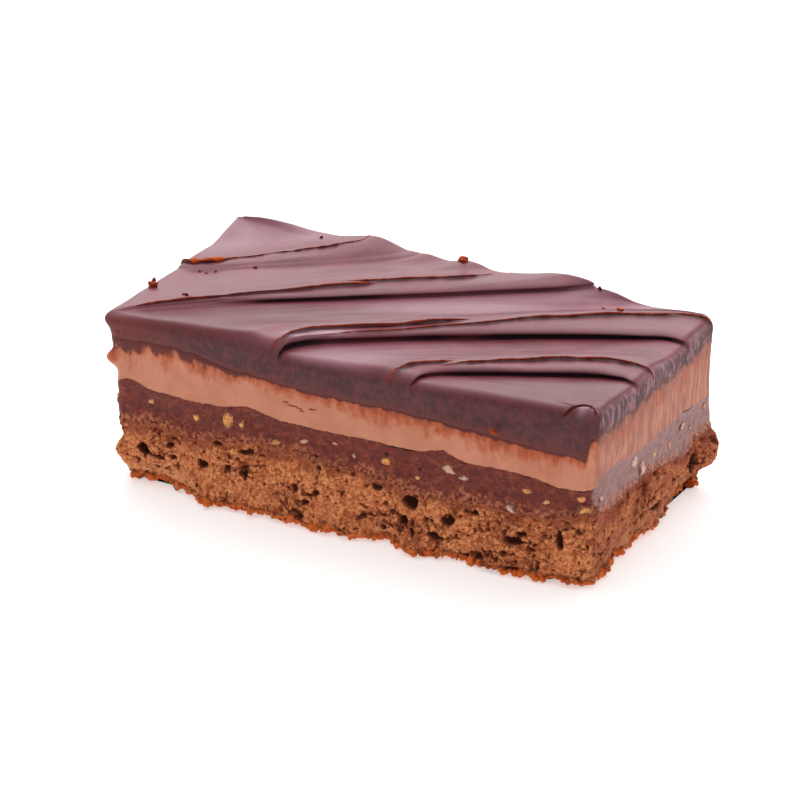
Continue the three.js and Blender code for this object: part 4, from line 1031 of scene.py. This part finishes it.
lip_parts, used = [], 0
for number, _, places, strengths in LIPS:
    path, strength, warmth = lip_path(number, places, strengths)
    uneven = np.clip(1 + 0.5 * noise(path / 1.6, 151) + 0.35 * noise(path / 0.5, 152), 0.3, 2)
    chunk = 1 + CHUNK_MORE * smooth((warmth - CHUNK_WARMTH) / 0.1)
    size = np.sqrt(np.clip(strength, 0, 1.6)) * uneven * chunk
    points, quads, fans = tube(path, LIP_HALF_WIDTH * size, LIP_HALF_HEIGHT * size, LIP_AROUND)
    warm = np.concatenate([np.repeat(warmth, LIP_AROUND), warmth[[0, -1]]])
    lip_parts.append((points, quads + used, fans + used, warm))
    used += len(points)
path = settle(*curve_through(ARCH, ARCH_RINGS).T)
size = np.sin(np.linspace(0.05, 0.97, ARCH_RINGS) * np.pi) ** 0.5
points, quads, fans = tube(path, ARCH_HALF_WIDTH * size, ARCH_HALF_HEIGHT * size, LIP_AROUND)
lip_parts.append((points, quads + used, fans + used, np.full(len(points), ARCH_WARMTH)))
points, quads, fans, warm = (np.concatenate(part) for part in zip(*lip_parts))
lips = make_piece("fold_lips", points, quads, fans, {"warm": warm}, "ganache", "ganache")

# %% [markdown]
# ## Nuts and crumbs
#
# The chopped nuts that the knife cut through show as pale, angular spots in the praline. Each is a
# ball whose points are pulled in by noise and then pressed flat where the knife passed. Crumbs have
# broken off the sponge and cling to its face and its foot, and bits of set ganache cling to the top.
# Each kind is many small balls in one mesh, worked out together.

# %% Balls that are cut or crumbled
# Each ball reads the noise at a place of its own, this far from the next one's.
BALL_NOISE, BALL_APART = 1.3, 7.7


def ball_grid(around, down):
    """Points and faces of a unit ball: rings between two poles, closed."""
    polar = np.linspace(0, np.pi, down + 1)[1:-1]
    turn = np.arange(around) * 2 * np.pi / around
    p, t = np.meshgrid(polar, turn, indexing="ij")
    ring = np.stack([np.sin(p) * np.cos(t), np.sin(p) * np.sin(t), np.cos(p)], -1).reshape(-1, 3)
    points = np.concatenate([ring, [[0, 0, 1], [0, 0, -1]]])
    quads = [band_faces(n * around, (n + 1) * around, around)[:, [0, 3, 2, 1]] for n in range(down - 2)]
    first = np.arange(around)
    last = first + (down - 2) * around
    fans = [fan_faces(first, len(ring)), fan_faces(last, len(ring) + 1)[:, [1, 0, 2]]]
    return points, np.concatenate(quads), np.concatenate(fans)


def scatter(ball, centres, axes, radii, rough, seed):
    """Copies of a ball at the centres: its three axes are the columns of `axes`, its radii stretch
    it, and noise of the given strength makes each one uneven in its own way."""
    points, quads, triangles = ball
    count = len(centres)
    own = points[None] * BALL_NOISE + np.arange(count)[:, None, None] * BALL_APART
    uneven = 1 + rough * crumbly(own, 1, 2, seed)
    local = points[None] * uneven[..., None] * radii[:, None]
    placed = np.einsum("nij,npj->npi", axes, local) + centres[:, None]
    first = (np.arange(count) * len(points))[:, None, None]
    return placed, (quads[None] + first).reshape(-1, 4), (triangles[None] + first).reshape(-1, 3)


def face_axes(along):
    """Three directions at a place on the rim, as columns: out of the face, along it, and up."""
    ahead = settled_rim(along + 0.5, 0.0, 10.0) - settled_rim(along - 0.5, 0.0, 10.0)
    ahead /= np.linalg.norm(ahead, axis=-1, keepdims=True)
    up = np.broadcast_to([0.0, 0, 1], ahead.shape)
    return np.stack([np.cross(ahead, up), ahead, up], -1)


# %% Make the nuts
# (along, height, half length, half height, how white)
NUTS = np.array([
    (18.1, 16.4, 1.1, 0.8, 0), (25.3, 17.4, 1.5, 1.8, 0), (28.2, 17.2, 0.7, 1.2, 0.1),
    (35.6, 15.1, 1.5, 0.7, 0.1), (41.6, 16.5, 1.0, 0.5, 0.5), (52, 15.9, 0.6, 0.7, 1),
    (58.7, 16.3, 1.2, 1.0, 0), (65.2, 14.4, 0.9, 0.5, 0.2), (71.6, 17.4, 1.6, 0.9, 0.8),
    (74.5, 16.3, 1.3, 0.6, 0.9), (86.9, 16.6, 1.3, 0.6, 0.1), (91, 15.4, 0.8, 0.6, 0.3),
    (97.4, 17.3, 1.3, 0.9, 0.1), (84.1, 12.0, 1.1, 0.8, 1), (98.4, 12.6, 1.5, 1.1, 0.1),
    (116.7, 18.3, 1.5, 1.5, 1), (120, 15.1, 1.5, 1.8, 1), (104, 16.4, 0.9, 0.6, 0.8),
    (8.2, 17.6, 0.9, 0.6, 0.3), (48, 17.4, 0.6, 0.4, 0.4)])
# More of them at random round the faces that don't show, from this place on.
MORE_NUTS, MORE_FROM, NUT_SEED = 34, 124, 11
# A nut reaches this deep, its middle is sunk this far, and what stands out further than the knife
# left it is pressed back.
NUT_DEEP, NUT_SUNK, NUT_STANDS_OUT, NUT_PRESS = 0.9, 0.45, 0.16, 0.25
rng = np.random.default_rng(NUT_SEED)
step = (GIRTH - MORE_FROM) / MORE_NUTS
more = np.stack([
    MORE_FROM + step * (np.arange(MORE_NUTS) + rng.uniform(0.1, 0.9, MORE_NUTS)),
    rng.uniform(14.8, 17.8, MORE_NUTS), rng.uniform(0.5, 1.4, MORE_NUTS), rng.uniform(0.4, 0.9, MORE_NUTS),
    rng.uniform(0, 1, MORE_NUTS) ** 2], 1)
nuts = np.concatenate([NUTS, more])
nut_low, nut_high = seam_height("sponge_top", nuts[:, 0]), seam_height("praline_top", nuts[:, 0])
level = np.clip(nuts[:, 1], nut_low + 0.3, nut_high - nuts[:, 3])
share = (level - nut_low) / (nut_high - nut_low)
centre, _ = praline_skin(nuts[:, 0], share)
axes = face_axes(nuts[:, 0])
tilt = rng.uniform(-0.5, 0.5, len(nuts))
along_axis = axes[..., 1] * np.cos(tilt)[:, None] + axes[..., 2] * np.sin(tilt)[:, None]
up_axis = axes[..., 2] * np.cos(tilt)[:, None] - axes[..., 1] * np.sin(tilt)[:, None]
radii = np.stack([np.full(len(nuts), NUT_DEEP), nuts[:, 2], nuts[:, 3]], 1)
nut_axes = np.stack([axes[..., 0], along_axis, up_axis], -1)
placed, nut_quads, nut_triangles = scatter(
    ball_grid(20, 12), centre - axes[..., 0] * NUT_SUNK, nut_axes, radii, 0.45, 131)
out_of_face = ((placed - centre[:, None]) * axes[:, None, :, 0]).sum(-1)
pressed = np.minimum(out_of_face, NUT_STANDS_OUT + NUT_PRESS * (out_of_face - NUT_STANDS_OUT))
placed = placed + (pressed - out_of_face)[..., None] * axes[:, None, :, 0]
nut_white = np.repeat(nuts[:, 4], placed.shape[1])
seen = placed - centre[:, None]
nut_rim = np.hypot((seen * along_axis[:, None]).sum(-1) / radii[:, 1:2],
                   (seen * up_axis[:, None]).sum(-1) / radii[:, 2:])
nut_piece = make_piece(
    "chopped_nuts", placed.reshape(-1, 3), nut_quads, nut_triangles,
    {"white": nut_white, "rim": nut_rim.ravel()}, "nut", "praline")

# %% Make the crumbs
# Crumbs at the foot and smaller ones on the face, which stay this far above the floor.
CRUMB_SEED, FOOT_CRUMBS, FACE_CRUMBS, FACE_SHARE, FLOOR_GAP = 5, 520, 260, 0.45, 0.01
rng = np.random.default_rng(CRUMB_SEED)
crumb_along = rng.uniform(0, GIRTH, FOOT_CRUMBS + FACE_CRUMBS)
crumb_share = np.concatenate(
    [rng.uniform(0.01, 0.12, FOOT_CRUMBS), rng.uniform(0.08, 0.95, FACE_CRUMBS)])
crumb_size = 0.25 + 0.6 * rng.uniform(0, 1, len(crumb_along)) ** 1.5
crumb_size[FOOT_CRUMBS:] *= FACE_SHARE
centre, _, _, _ = sponge_skin(crumb_along, crumb_share)
centre[:, 2] = np.maximum(centre[:, 2], crumb_size * 0.9)
radii = crumb_size[:, None] * rng.uniform(0.7, 1.25, (len(crumb_along), 3))
placed, crumb_quads, crumb_triangles = scatter(
    ball_grid(10, 7), centre, face_axes(crumb_along), radii, 0.6, 141)
placed[..., 2] = np.maximum(placed[..., 2], FLOOR_GAP)
crumb_foot = np.repeat(smooth(1 - crumb_share / 0.2), placed.shape[1])
crumbs = make_piece(
    "loose_crumbs", placed.reshape(-1, 3), crumb_quads, crumb_triangles,
    {"foot": crumb_foot}, "sponge")

# %% Make the bits on the ganache
# (x, y, z, half width, half height, how warm) of bits of set ganache and crumb that cling to it
BITS = np.array([
    (-50.3, -9.9, 34.8, 0.8, 0.6, 0.6), (-50.7, -8.9, 35.3, 0.45, 0.5, 0.2),
    (-1.2, 24.4, 36.5, 0.9, 0.8, 0.7), (-31.2, 22.4, 36.8, 0.25, 0.4, 0.2),
    (27.8, 24.1, 36.3, 0.3, 0.35, 0.1), (34.4, 18.3, 35.5, 0.5, 0.22, 0.7),
    (31.6, 17, 35.6, 0.35, 0.18, 0.5), (-41.4, -12.2, 35.3, 0.3, 0.35, 0.3),
    (-42.1, -11.9, 35.2, 0.3, 0.2, 0.6), (-36.6, -20.4, 34.3, 0.2, 0.2, -0.4),
    (-46.3, 0.7, 34.6, 0.3, 0.16, 0.4), (-44.6, 0.4, 34.6, 0.3, 0.14, 0.4),
    (-43.4, 1.8, 34.7, 0.25, 0.14, 0.3), (-37.3, 6.6, 35, 0.35, 0.16, 0.2),
    (28.9, -25.2, 27.4, 0.6, 0.42, 0.7)])
bit_axes = np.broadcast_to(np.eye(3), (len(BITS), 3, 3))
placed, bit_quads, bit_triangles = scatter(
    ball_grid(12, 8), BITS[:, :3], bit_axes, BITS[:, [3, 3, 4]] * [1.2, 0.8, 1], 0.7, 161)
bits = make_piece("ganache_bits", placed.reshape(-1, 3), bit_quads, bit_triangles,
                  {"warm": np.repeat(BITS[:, 5], placed.shape[1])}, "ganache", "ganache")

# %% [markdown]
# ## Finishes
#
# A finish is a small tree of shader nodes. The colour starts from the marks on the mesh, so that
# pores are dark and lips are warm, and noise on object coordinates adds what is finer than the
# grid. Roughness and bump come from the same noise, because a rough spot looks different as well as
# feeling different. The helpers below keep each tree to a few lines.

# %% Helpers for shader nodes
def tint(red, green, blue):
    """A colour given as it looks on a screen, 0 to 255, as the linear numbers that shaders use."""
    screen = np.array([red, green, blue]) / 255
    return tuple(np.where(screen <= 0.04045, screen / 12.92, ((screen + 0.055) / 1.055) ** 2.4))


class Finish:
    """A material with a Principled shader, and short ways to add nodes to it."""

    def __init__(self, name, roughness, specular=0.5):
        self.material = bpy.data.materials.new(name)
        self.material.use_nodes = True
        self.tree = self.material.node_tree
        self.shader = self.tree.nodes["Principled BSDF"]
        self.shader.inputs["Roughness"].default_value = roughness
        self.shader.inputs["IOR"].default_value = 1.5
        self.shader.inputs["Specular IOR Level"].default_value = specular
        self.place = self.tree.nodes.new("ShaderNodeTexCoord").outputs["Object"]

    def link(self, value, socket):
        """Joins an output to a socket, or sets the socket to a number or a colour."""
        if isinstance(value, bpy.types.NodeSocket):
            self.tree.links.new(value, socket)
        elif hasattr(socket.default_value, "__len__"):
            socket.default_value = list(value) + [1.0] * (len(socket.default_value) - len(value))
        else:
            socket.default_value = value

    def node(self, kind, *values, output=0):
        """A node with its inputs filled in order, and one of its outputs."""
        node = self.tree.nodes.new("ShaderNode" + kind)
        for value, socket in zip(values, node.inputs):
            self.link(value, socket)
        return node, node.outputs[output]

    def mark(self, name):
        """A mark of the mesh, by its name."""
        node, value = self.node("Attribute", output="Fac")
        node.attribute_name = name
        return value

    def noise(self, size_mm, detail=3, rough=0.55, stretch=(1, 1, 1)):
        """Noise from 0 to 1 with features of this size, longer in the directions that are stretched."""
        mapping, place = self.node("Mapping", self.place)
        mapping.inputs["Scale"].default_value = [1 / (MM * size_mm * s) for s in stretch]
        node, value = self.node("TexNoise", place, output="Fac")
        for name, number in (("Scale", 1), ("Detail", detail), ("Roughness", rough)):
            node.inputs[name].default_value = number
        return value

    def pair(self, first, second):
        """A place on a surface's own grid, made of two marks."""
        return self.node("CombineXYZ", first, second)[1]

    def noise_on(self, place, sizes_mm, detail=3, rough=0.55):
        """Noise whose place is already in mm, with a size of its own in each direction."""
        kept, self.place = self.place, place
        output = self.noise(1 / MM, detail, rough, sizes_mm)
        self.place = kept
        return output

    def math(self, operation, *values):
        """One sum or product of two values, or the larger of them."""
        node, value = self.node("Math", *values)
        node.operation = operation
        return value

    def add(self, first, second):
        """The first plus the second."""
        return self.math("ADD", first, second)

    def times(self, first, second):
        """The first times the second."""
        return self.math("MULTIPLY", first, second)

    def most(self, first, second):
        """The larger of the two."""
        return self.math("MAXIMUM", first, second)

    def ramp(self, value, start, end, low=0.0, high=1.0):
        """value from start..end brought to low..high, smoothly."""
        node, output = self.node("MapRange", value, start, end, low, high)
        node.interpolation_type = "SMOOTHSTEP"
        return output

    def blend(self, share, first, second):
        """The first colour at share 0, the second at share 1."""
        node = self.tree.nodes.new("ShaderNodeMix")
        node.data_type = "RGBA"
        for value, socket in ((share, "Factor"), (first, 6), (second, 7)):
            self.link(value, node.inputs[socket])
        return node.outputs[2]

    def layers(self, colour, rows):
        """A colour with others laid over it in turn. A row is a value, where it starts to cover and
        where it covers most, how strong it is there, and a tint. A row of two is a share and a tint."""
        for value, *covering, shade in rows:
            if covering:
                start, end, strength = covering
                value = self.ramp(value, start, end, 0, strength)
            colour = self.blend(value, colour, tint(*shade))
        return colour

    def bump(self, height, depth_mm, strength=1.0, before=None):
        """Relief from a height of 0 to 1 that counts as this many mm, on top of an earlier relief."""
        node = self.tree.nodes.new("ShaderNodeBump")
        node.inputs["Strength"].default_value = strength
        node.inputs["Distance"].default_value = depth_mm * MM
        self.link(height, node.inputs["Height"])
        if before is not None:
            self.link(before, node.inputs["Normal"])
        return node.outputs["Normal"]

    def wear(self, pieces, colour, roughness=None, normal=None):
        """Ends the tree in the shader and puts the material on the pieces."""
        for value, name in ((colour, "Base Color"), (roughness, "Roughness"), (normal, "Normal")):
            if value is not None:
                self.link(value, self.shader.inputs[name])
        for piece in pieces:
            piece.data.materials.append(self.material)
        print("finish", self.material.name, "has", len(self.tree.nodes), "nodes")


# %% [markdown]
# ### Sponge finish
#
# Baked cocoa crumb is warm brown. It is paler on what stands out and darker where its crumb sinks,
# partly its own tone and partly painted highlight and shade. The pores are almost black with painted
# shade, and the hollows of the lumps are painted paler, as painted light. Near its top it has drunk
# some chocolate from the praline. Its foot, which lay on the tin, is redder.

# %% Sponge finish
finish = Finish("sponge_crumb", 0.9, specular=0.2)
grain, coarse, patches = finish.noise(0.62, 5, 0.7), finish.noise(1.5, 4, 0.65), finish.noise(3.2, 3)
foot = finish.add(finish.mark("foot"), finish.ramp(patches, 0.3, 0.7, -0.15, 0.15))
line = finish.times(finish.ramp(foot, 0.16, 0.3), finish.ramp(foot, 0.6, 0.45))
line = finish.times(line, finish.ramp(coarse, 0.6, 0.45, 0.1, 0.6))
aside = finish.times(finish.mark("aside"), finish.ramp(patches, 0.3, 0.7, 0.3, 0.7))
colour = finish.layers(tint(184, 88, 44), [
    # Paler where the grain's bump stands out and darker where the coarse bump sinks: partly the crumb's own
    # tone, partly painted highlight and shade.
    (grain, 0.36, 0.64, 1, (254, 172, 114)),
    (coarse, 0.5, 0.36, 0.75, (148, 62, 28)),
    # Painted light in the hollows of the lumps.
    (finish.mark("hollow"), 0.05, 0.7, 0.6, (255, 178, 128)),
    (patches, 0.4, 0.7, 0.4, (214, 118, 78)),
    (aside, (150, 76, 56)),
    (foot, 0.35, 0.65, 0.8, (240, 116, 48)),
    (line, (110, 44, 24)),
    (finish.add(finish.mark("soak"), coarse), 0.9, 1.5, 0.7, (136, 62, 44)),
    # Painted shade in the pores.
    (finish.mark("pore"), 0.04, 0.35, 0.85, (124, 54, 32)),
    (finish.mark("pore"), 0.4, 1.0, 0.88, (58, 20, 11))])
relief = finish.bump(coarse, 0.7, 0.8, finish.bump(grain, 0.6, 1.0))
finish.wear([sponge, crumbs], colour, normal=relief)

# %% [markdown]
# ### Praline finish
#
# The paste is dark and slightly greasy, so it keeps a soft gloss. Ground nut makes it mottled, and
# towards its foot crumb from the sponge is pressed into it. Its pits and cracks are darkened with
# painted shade, and its right face is painted paler with painted sheen.

# %% Praline finish
finish = Finish("praline_paste", 0.55, specular=0.25)
mottle = finish.noise(1.5, 4, 0.65, (1, 1, 0.7))
fine = finish.noise(0.45, 3)
# Paler mottles on the right face: painted sheen.
aside = finish.times(finish.mark("aside"), finish.ramp(mottle, 0.3, 0.7, 0.4, 0.9))
low = finish.add(finish.mark("low"), finish.noise(1.8, 4, 0.7))
crumb_colour = finish.layers(tint(92, 34, 18), [(finish.noise(0.7, 4, 0.65), 0.4, 0.6, 1, (196, 114, 78))])
colour = finish.layers(tint(88, 26, 22), [
    (mottle, 0.36, 0.66, 1, (122, 48, 34)),
    (finish.noise(2.4, 5, 0.72, (1, 1, 0.8)), 0.5, 0.68, 0.5, (160, 86, 52)),
    (fine, 0.6, 0.74, 0.6, (178, 110, 76)),
    (aside, (160, 124, 122))])
colour = finish.blend(finish.ramp(low, 1.2, 1.5, 0, 0.85), colour, crumb_colour)
# Painted shade in the pits and cracks.
colour = finish.layers(colour, [(finish.mark("hole"), 0.15, 0.8, 0.9, (34, 10, 8))])
finish.wear([praline], colour, finish.ramp(mottle, 0.3, 0.7, 0.42, 0.6), finish.bump(fine, 0.22, 0.7))

# %% [markdown]
# ### Nut finish
#
# Cut nuts are pale inside: golden where roasted, nearly white where not. Paste smeared over a nut's
# edge hides its outline, so the finish fades to brown towards the rim, and noise tears that fade.

# %% Nut finish
finish = Finish("chopped_nut", 0.5, specular=0.45)
skin = finish.noise(0.9, 3)
torn = finish.ramp(finish.noise(0.9, 4, 0.65), 0.3, 0.7, -0.5, 0.5)
colour = finish.layers(tint(190, 104, 46), [
    (skin, 0.35, 0.62, 1, (246, 176, 88)),
    (finish.mark("white"), (204, 164, 148)),
    (finish.add(finish.mark("rim"), torn), 0.45, 0.95, 0.95, (112, 52, 40))])
finish.wear([nut_piece], colour, normal=finish.bump(skin, 0.12, 0.5))

# %% [markdown]
# ### Cream finish
#
# The cream is a plain tan under the two layers that the knife smeared over it: the brown veil, and
# the ganache above that. Upright noise tears the edge of each. On the right face the cream is darker
# in upright streaks, and its cracks are darkened with painted shade.

# %% Cream finish
finish = Finish("praline_cream", 0.55, specular=0.3)
flecks = finish.noise(0.5, 3)
thin = finish.noise(0.4, 3, 0.6, (1, 1, 5))
wide = finish.noise(2, 5, 0.6, (1, 1, 1.8))
torn = finish.add(finish.ramp(thin, 0.25, 0.75, -0.08, 0.08), finish.ramp(wide, 0.25, 0.75, -0.5, 0.5))
veil = finish.add(finish.mark("veil"), torn)
smear = finish.add(finish.mark("smear"), finish.times(torn, 1.3))
right_streaks = finish.ramp(finish.noise(1.1, 4, 0.6, (1, 1, 6)), 0.35, 0.65, 0.2, 1.0)
colour = finish.layers(tint(192, 122, 94), [
    (finish.noise(5, 3), 0.35, 0.65, 1, (202, 134, 106)),
    (flecks, 0.45, 0.75, 0.3, (190, 112, 82)),
    (veil, 1.25, 0.3, 0.9, (176, 82, 40)),
    (veil, 0.55, 0.1, 0.6, (146, 60, 30)),
    (smear, 1.3, 0.5, 1, (94, 36, 30)),
    # On the right face the cream is darker in upright streaks.
    (finish.times(finish.mark("aside"), right_streaks), (150, 88, 72)),
    # Painted shade in the cracks.
    (finish.mark("crack"), 0.2, 0.9, 0.85, (96, 40, 22))])
relief = finish.bump(flecks, 0.1, 0.5, finish.bump(finish.add(thin, wide), 0.12, 0.5))
finish.wear([cream], colour, normal=relief)

# %% [markdown]
# ### Ganache finish
#
# The spatula leaves ganache with a satin skin, while the knife leaves its side matt and streaked. The
# top is painted a paler mauve than the side, and paler or dimmer from plane to plane between the folds:
# that is the chocolate's brown with painted sheen on it. The colour darkens with painted shade in the
# crevices, in the chips and under the lips, a painted reddish glow runs along the crests, and painted
# sheen lies on the corner's dome, on the left end of the second fold and in pale streaks on the right face.

# %% Ganache finish
finish = Finish("ganache_satin", 0.4)
wall, across, run, aside = (finish.mark(name) for name in ("wall", "across", "run", "aside"))
cloud = finish.noise(7, 3)
drawn = finish.noise(0.5, 4, 0.6, (1, 1, 7))
mottle = finish.noise(1.3, 4, 0.6)
wiped = finish.noise(1.3, 4, 0.65, (1, 1, 3))
strokes = finish.noise_on(finish.pair(across, run), (0.5, 16, 1), 4)
first = finish.times(finish.ramp(across, 32, 29), finish.ramp(run, 22, 8))
first = finish.times(finish.ramp(across, 19, 23), first)
second = finish.times(finish.ramp(across, 36, 40), finish.ramp(across, 52, 47))
# Patches of the top that are painted paler or dimmer: painted sheen, stronger or weaker from plane to plane.
dim = finish.most(finish.times(second, finish.ramp(run, 44, 24)), finish.ramp(across, 14, 6))
pale = finish.most(finish.times(second, finish.ramp(run, 30, 46)), first)
pale = finish.most(pale, finish.ramp(across, 72, 79))
# The top's own brown, painted a paler mauve than the side with painted sheen.
top_colour = finish.layers(tint(120, 58, 68), [
    (cloud, 0.35, 0.65, 1, (134, 69, 80)),
    (mottle, 0.35, 0.7, 0.3, (108, 46, 52)),
    (finish.times(dim, 0.85), (102, 30, 36)),
    (finish.times(pale, 0.8), (148, 96, 110))])
side_colour = finish.layers(tint(66, 14, 20), [
    (mottle, 0.36, 0.64, 1, (96, 32, 38)),
    (finish.ramp(drawn, 0.35, 0.6, 0.4, 0), (60, 12, 12)),
    (across, 42, 52, 0.7, (120, 42, 30)),
    # Pale violet streaks on the right face: painted sheen.
    (finish.times(aside, finish.ramp(wiped, 0.48, 0.6)), (142, 92, 104)),
    (finish.times(aside, finish.ramp(wiped, 0.46, 0.36)), (60, 12, 14))])
colour = finish.blend(wall, top_colour, side_colour)
# Painted shade: the crevices are darkened towards black.
shade, edge = finish.ramp(finish.mark("crevice"), 0.05, 0.95, 0, 0.94), 0.0
for which in ("", "_second"):
    away = finish.add(finish.mark("beyond" + which), finish.ramp(strokes, 0.3, 0.7, -0.08, 0.08))
    strength = finish.ramp(finish.mark("lip" + which), 0.1, 0.8)
    # Painted shade under each lip, where it overhangs.
    under = finish.times(finish.ramp(away, -0.75, -0.3), finish.ramp(away, 0.0, -0.12))
    shade = finish.most(shade, finish.times(finish.times(under, strength), 0.6))
    # A painted reddish glow along each crest: the light that shines through the thin lip.
    crest = finish.times(finish.ramp(away, -0.14, 0.0), finish.ramp(away, 0.6, 0.2))
    edge = finish.most(edge, finish.times(crest, strength))
low = finish.add(finish.mark("low"), finish.ramp(drawn, 0.3, 0.7, -0.1, 0.1))
# Painted sheen on the brow and the dome, torn into streaks.
painted_sheen = finish.times(finish.mark("sheen"), finish.ramp(strokes, 0.4, 0.56))
colour = finish.layers(colour, [
    (finish.times(edge, 0.7), (96, 30, 26)),
    (low, 0.66, 1.0, 0.9, (100, 36, 26)),
    # Painted shade in the chips.
    (finish.mark("chip"), 0.2, 0.8, 0.85, (36, 12, 12)),
    (finish.times(painted_sheen, 0.8), (196, 164, 180)),
    (shade, (22, 5, 9))])
gloss = finish.add(finish.ramp(wall, 0, 1, 0.4, 0.6), finish.ramp(cloud, 0.3, 0.7, -0.03, 0.05))
gloss = finish.most(gloss, finish.times(shade, 0.75))
relief = finish.bump(finish.noise(0.35, 2), 0.03, 0.5)
for height, depth, strength in (
        (strokes, 0.06, 0.5), (finish.times(drawn, wall), 0.07, 0.6), (finish.times(mottle, wall), 0.2, 0.5)):
    relief = finish.bump(height, depth, strength, relief)
finish.wear([ganache], colour, gloss, relief)

# %% [markdown]
# ### Lip finish
#
# The lips and the bits on the top are so thin that they dry out and let light through. The glow of
# that light, from brown to orange, is painted into their colour. They are matt, because a sheen would
# hide that colour.

# %% Lip finish
finish = Finish("dry_lip", 0.65, specular=0.12)
grain = finish.noise(0.8, 3)
warm = finish.add(finish.mark("warm"), finish.ramp(grain, 0.3, 0.7, -0.25, 0.25))
colour = finish.layers(tint(74, 20, 18), [
    (warm, -0.1, 0.5, 1, (132, 42, 20)),
    (warm, 0.5, 1.1, 1, (206, 92, 34))])
finish.wear([lips, bits], colour, normal=finish.bump(grain, 0.1, 0.5))

# %% [markdown]
# ## Floor and light
#
# The slice stands on a plain pale floor in soft studio light. A white surround lights it from all
# sides, and a broad lamp behind and above it gives the satin top its pale sheen, since that is the
# direction the top mirrors towards the camera. More sheen is painted into the top's colour.

# %% Floor, surround and lamps
FLOOR_SIZE, FLOOR_DROP, FLOOR_GLOW = 6.0, 0.0002, 0.42
bpy.ops.mesh.primitive_plane_add(size=FLOOR_SIZE, location=(0, 0, -FLOOR_DROP))
floor = bpy.context.object
floor.name = "floor"
paper = Finish("pale_paper", 0.9, specular=0.1)
paper.shader.inputs["Emission Color"].default_value = (1, 1, 1, 1)
paper.shader.inputs["Emission Strength"].default_value = FLOOR_GLOW
paper.wear([floor], paper.blend(paper.noise(40, 2), (0.78, 0.78, 0.78), (0.8, 0.8, 0.8)))

SURROUND = 0.62
world = bpy.data.worlds.new("studio")
bpy.context.scene.world = world
world.use_nodes = True
world.node_tree.nodes["Background"].inputs["Color"].default_value = (1.0, 0.985, 0.975, 1)
world.node_tree.nodes["Background"].inputs["Strength"].default_value = SURROUND


def soft_lamp(name, place, target, size, brightness, colour):
    """A square lamp at `place` that faces `target`, all in mm. Its watts are its brightness times pi
    times its area, so that brightness 1 looks as bright as white paper in full light."""
    data = bpy.data.lights.new(name, "AREA")
    data.shape, data.size, data.color = "SQUARE", size * MM, colour
    data.energy = brightness * np.pi * (size * MM) ** 2
    lamp = bpy.data.objects.new(name, data)
    place, target = np.array(place, float), np.array(target, float)
    away = (place - target) / np.linalg.norm(place - target)
    flat = np.hypot(away[0], away[1])
    lamp.location = place * MM
    lamp.rotation_euler = (np.arctan2(flat, away[2]), 0, np.arctan2(away[0], -away[1]))
    bpy.context.scene.collection.objects.link(lamp)


soft_lamp("back_lamp", (-300, 560, 560), (0, 0, 30), 900, 1.9, (1.0, 0.98, 1.0))
soft_lamp("top_lamp", (0, 40, 900), (0, 0, 0), 800, 1.2, (1.0, 0.98, 0.96))
soft_lamp("side_lamp", (450, 650, 100), (40, 0, 15), 400, 3.6, (0.97, 0.98, 1.0))
bpy.context.scene.view_settings.view_transform = "Standard"
print("floor, surround and three lamps are in place")
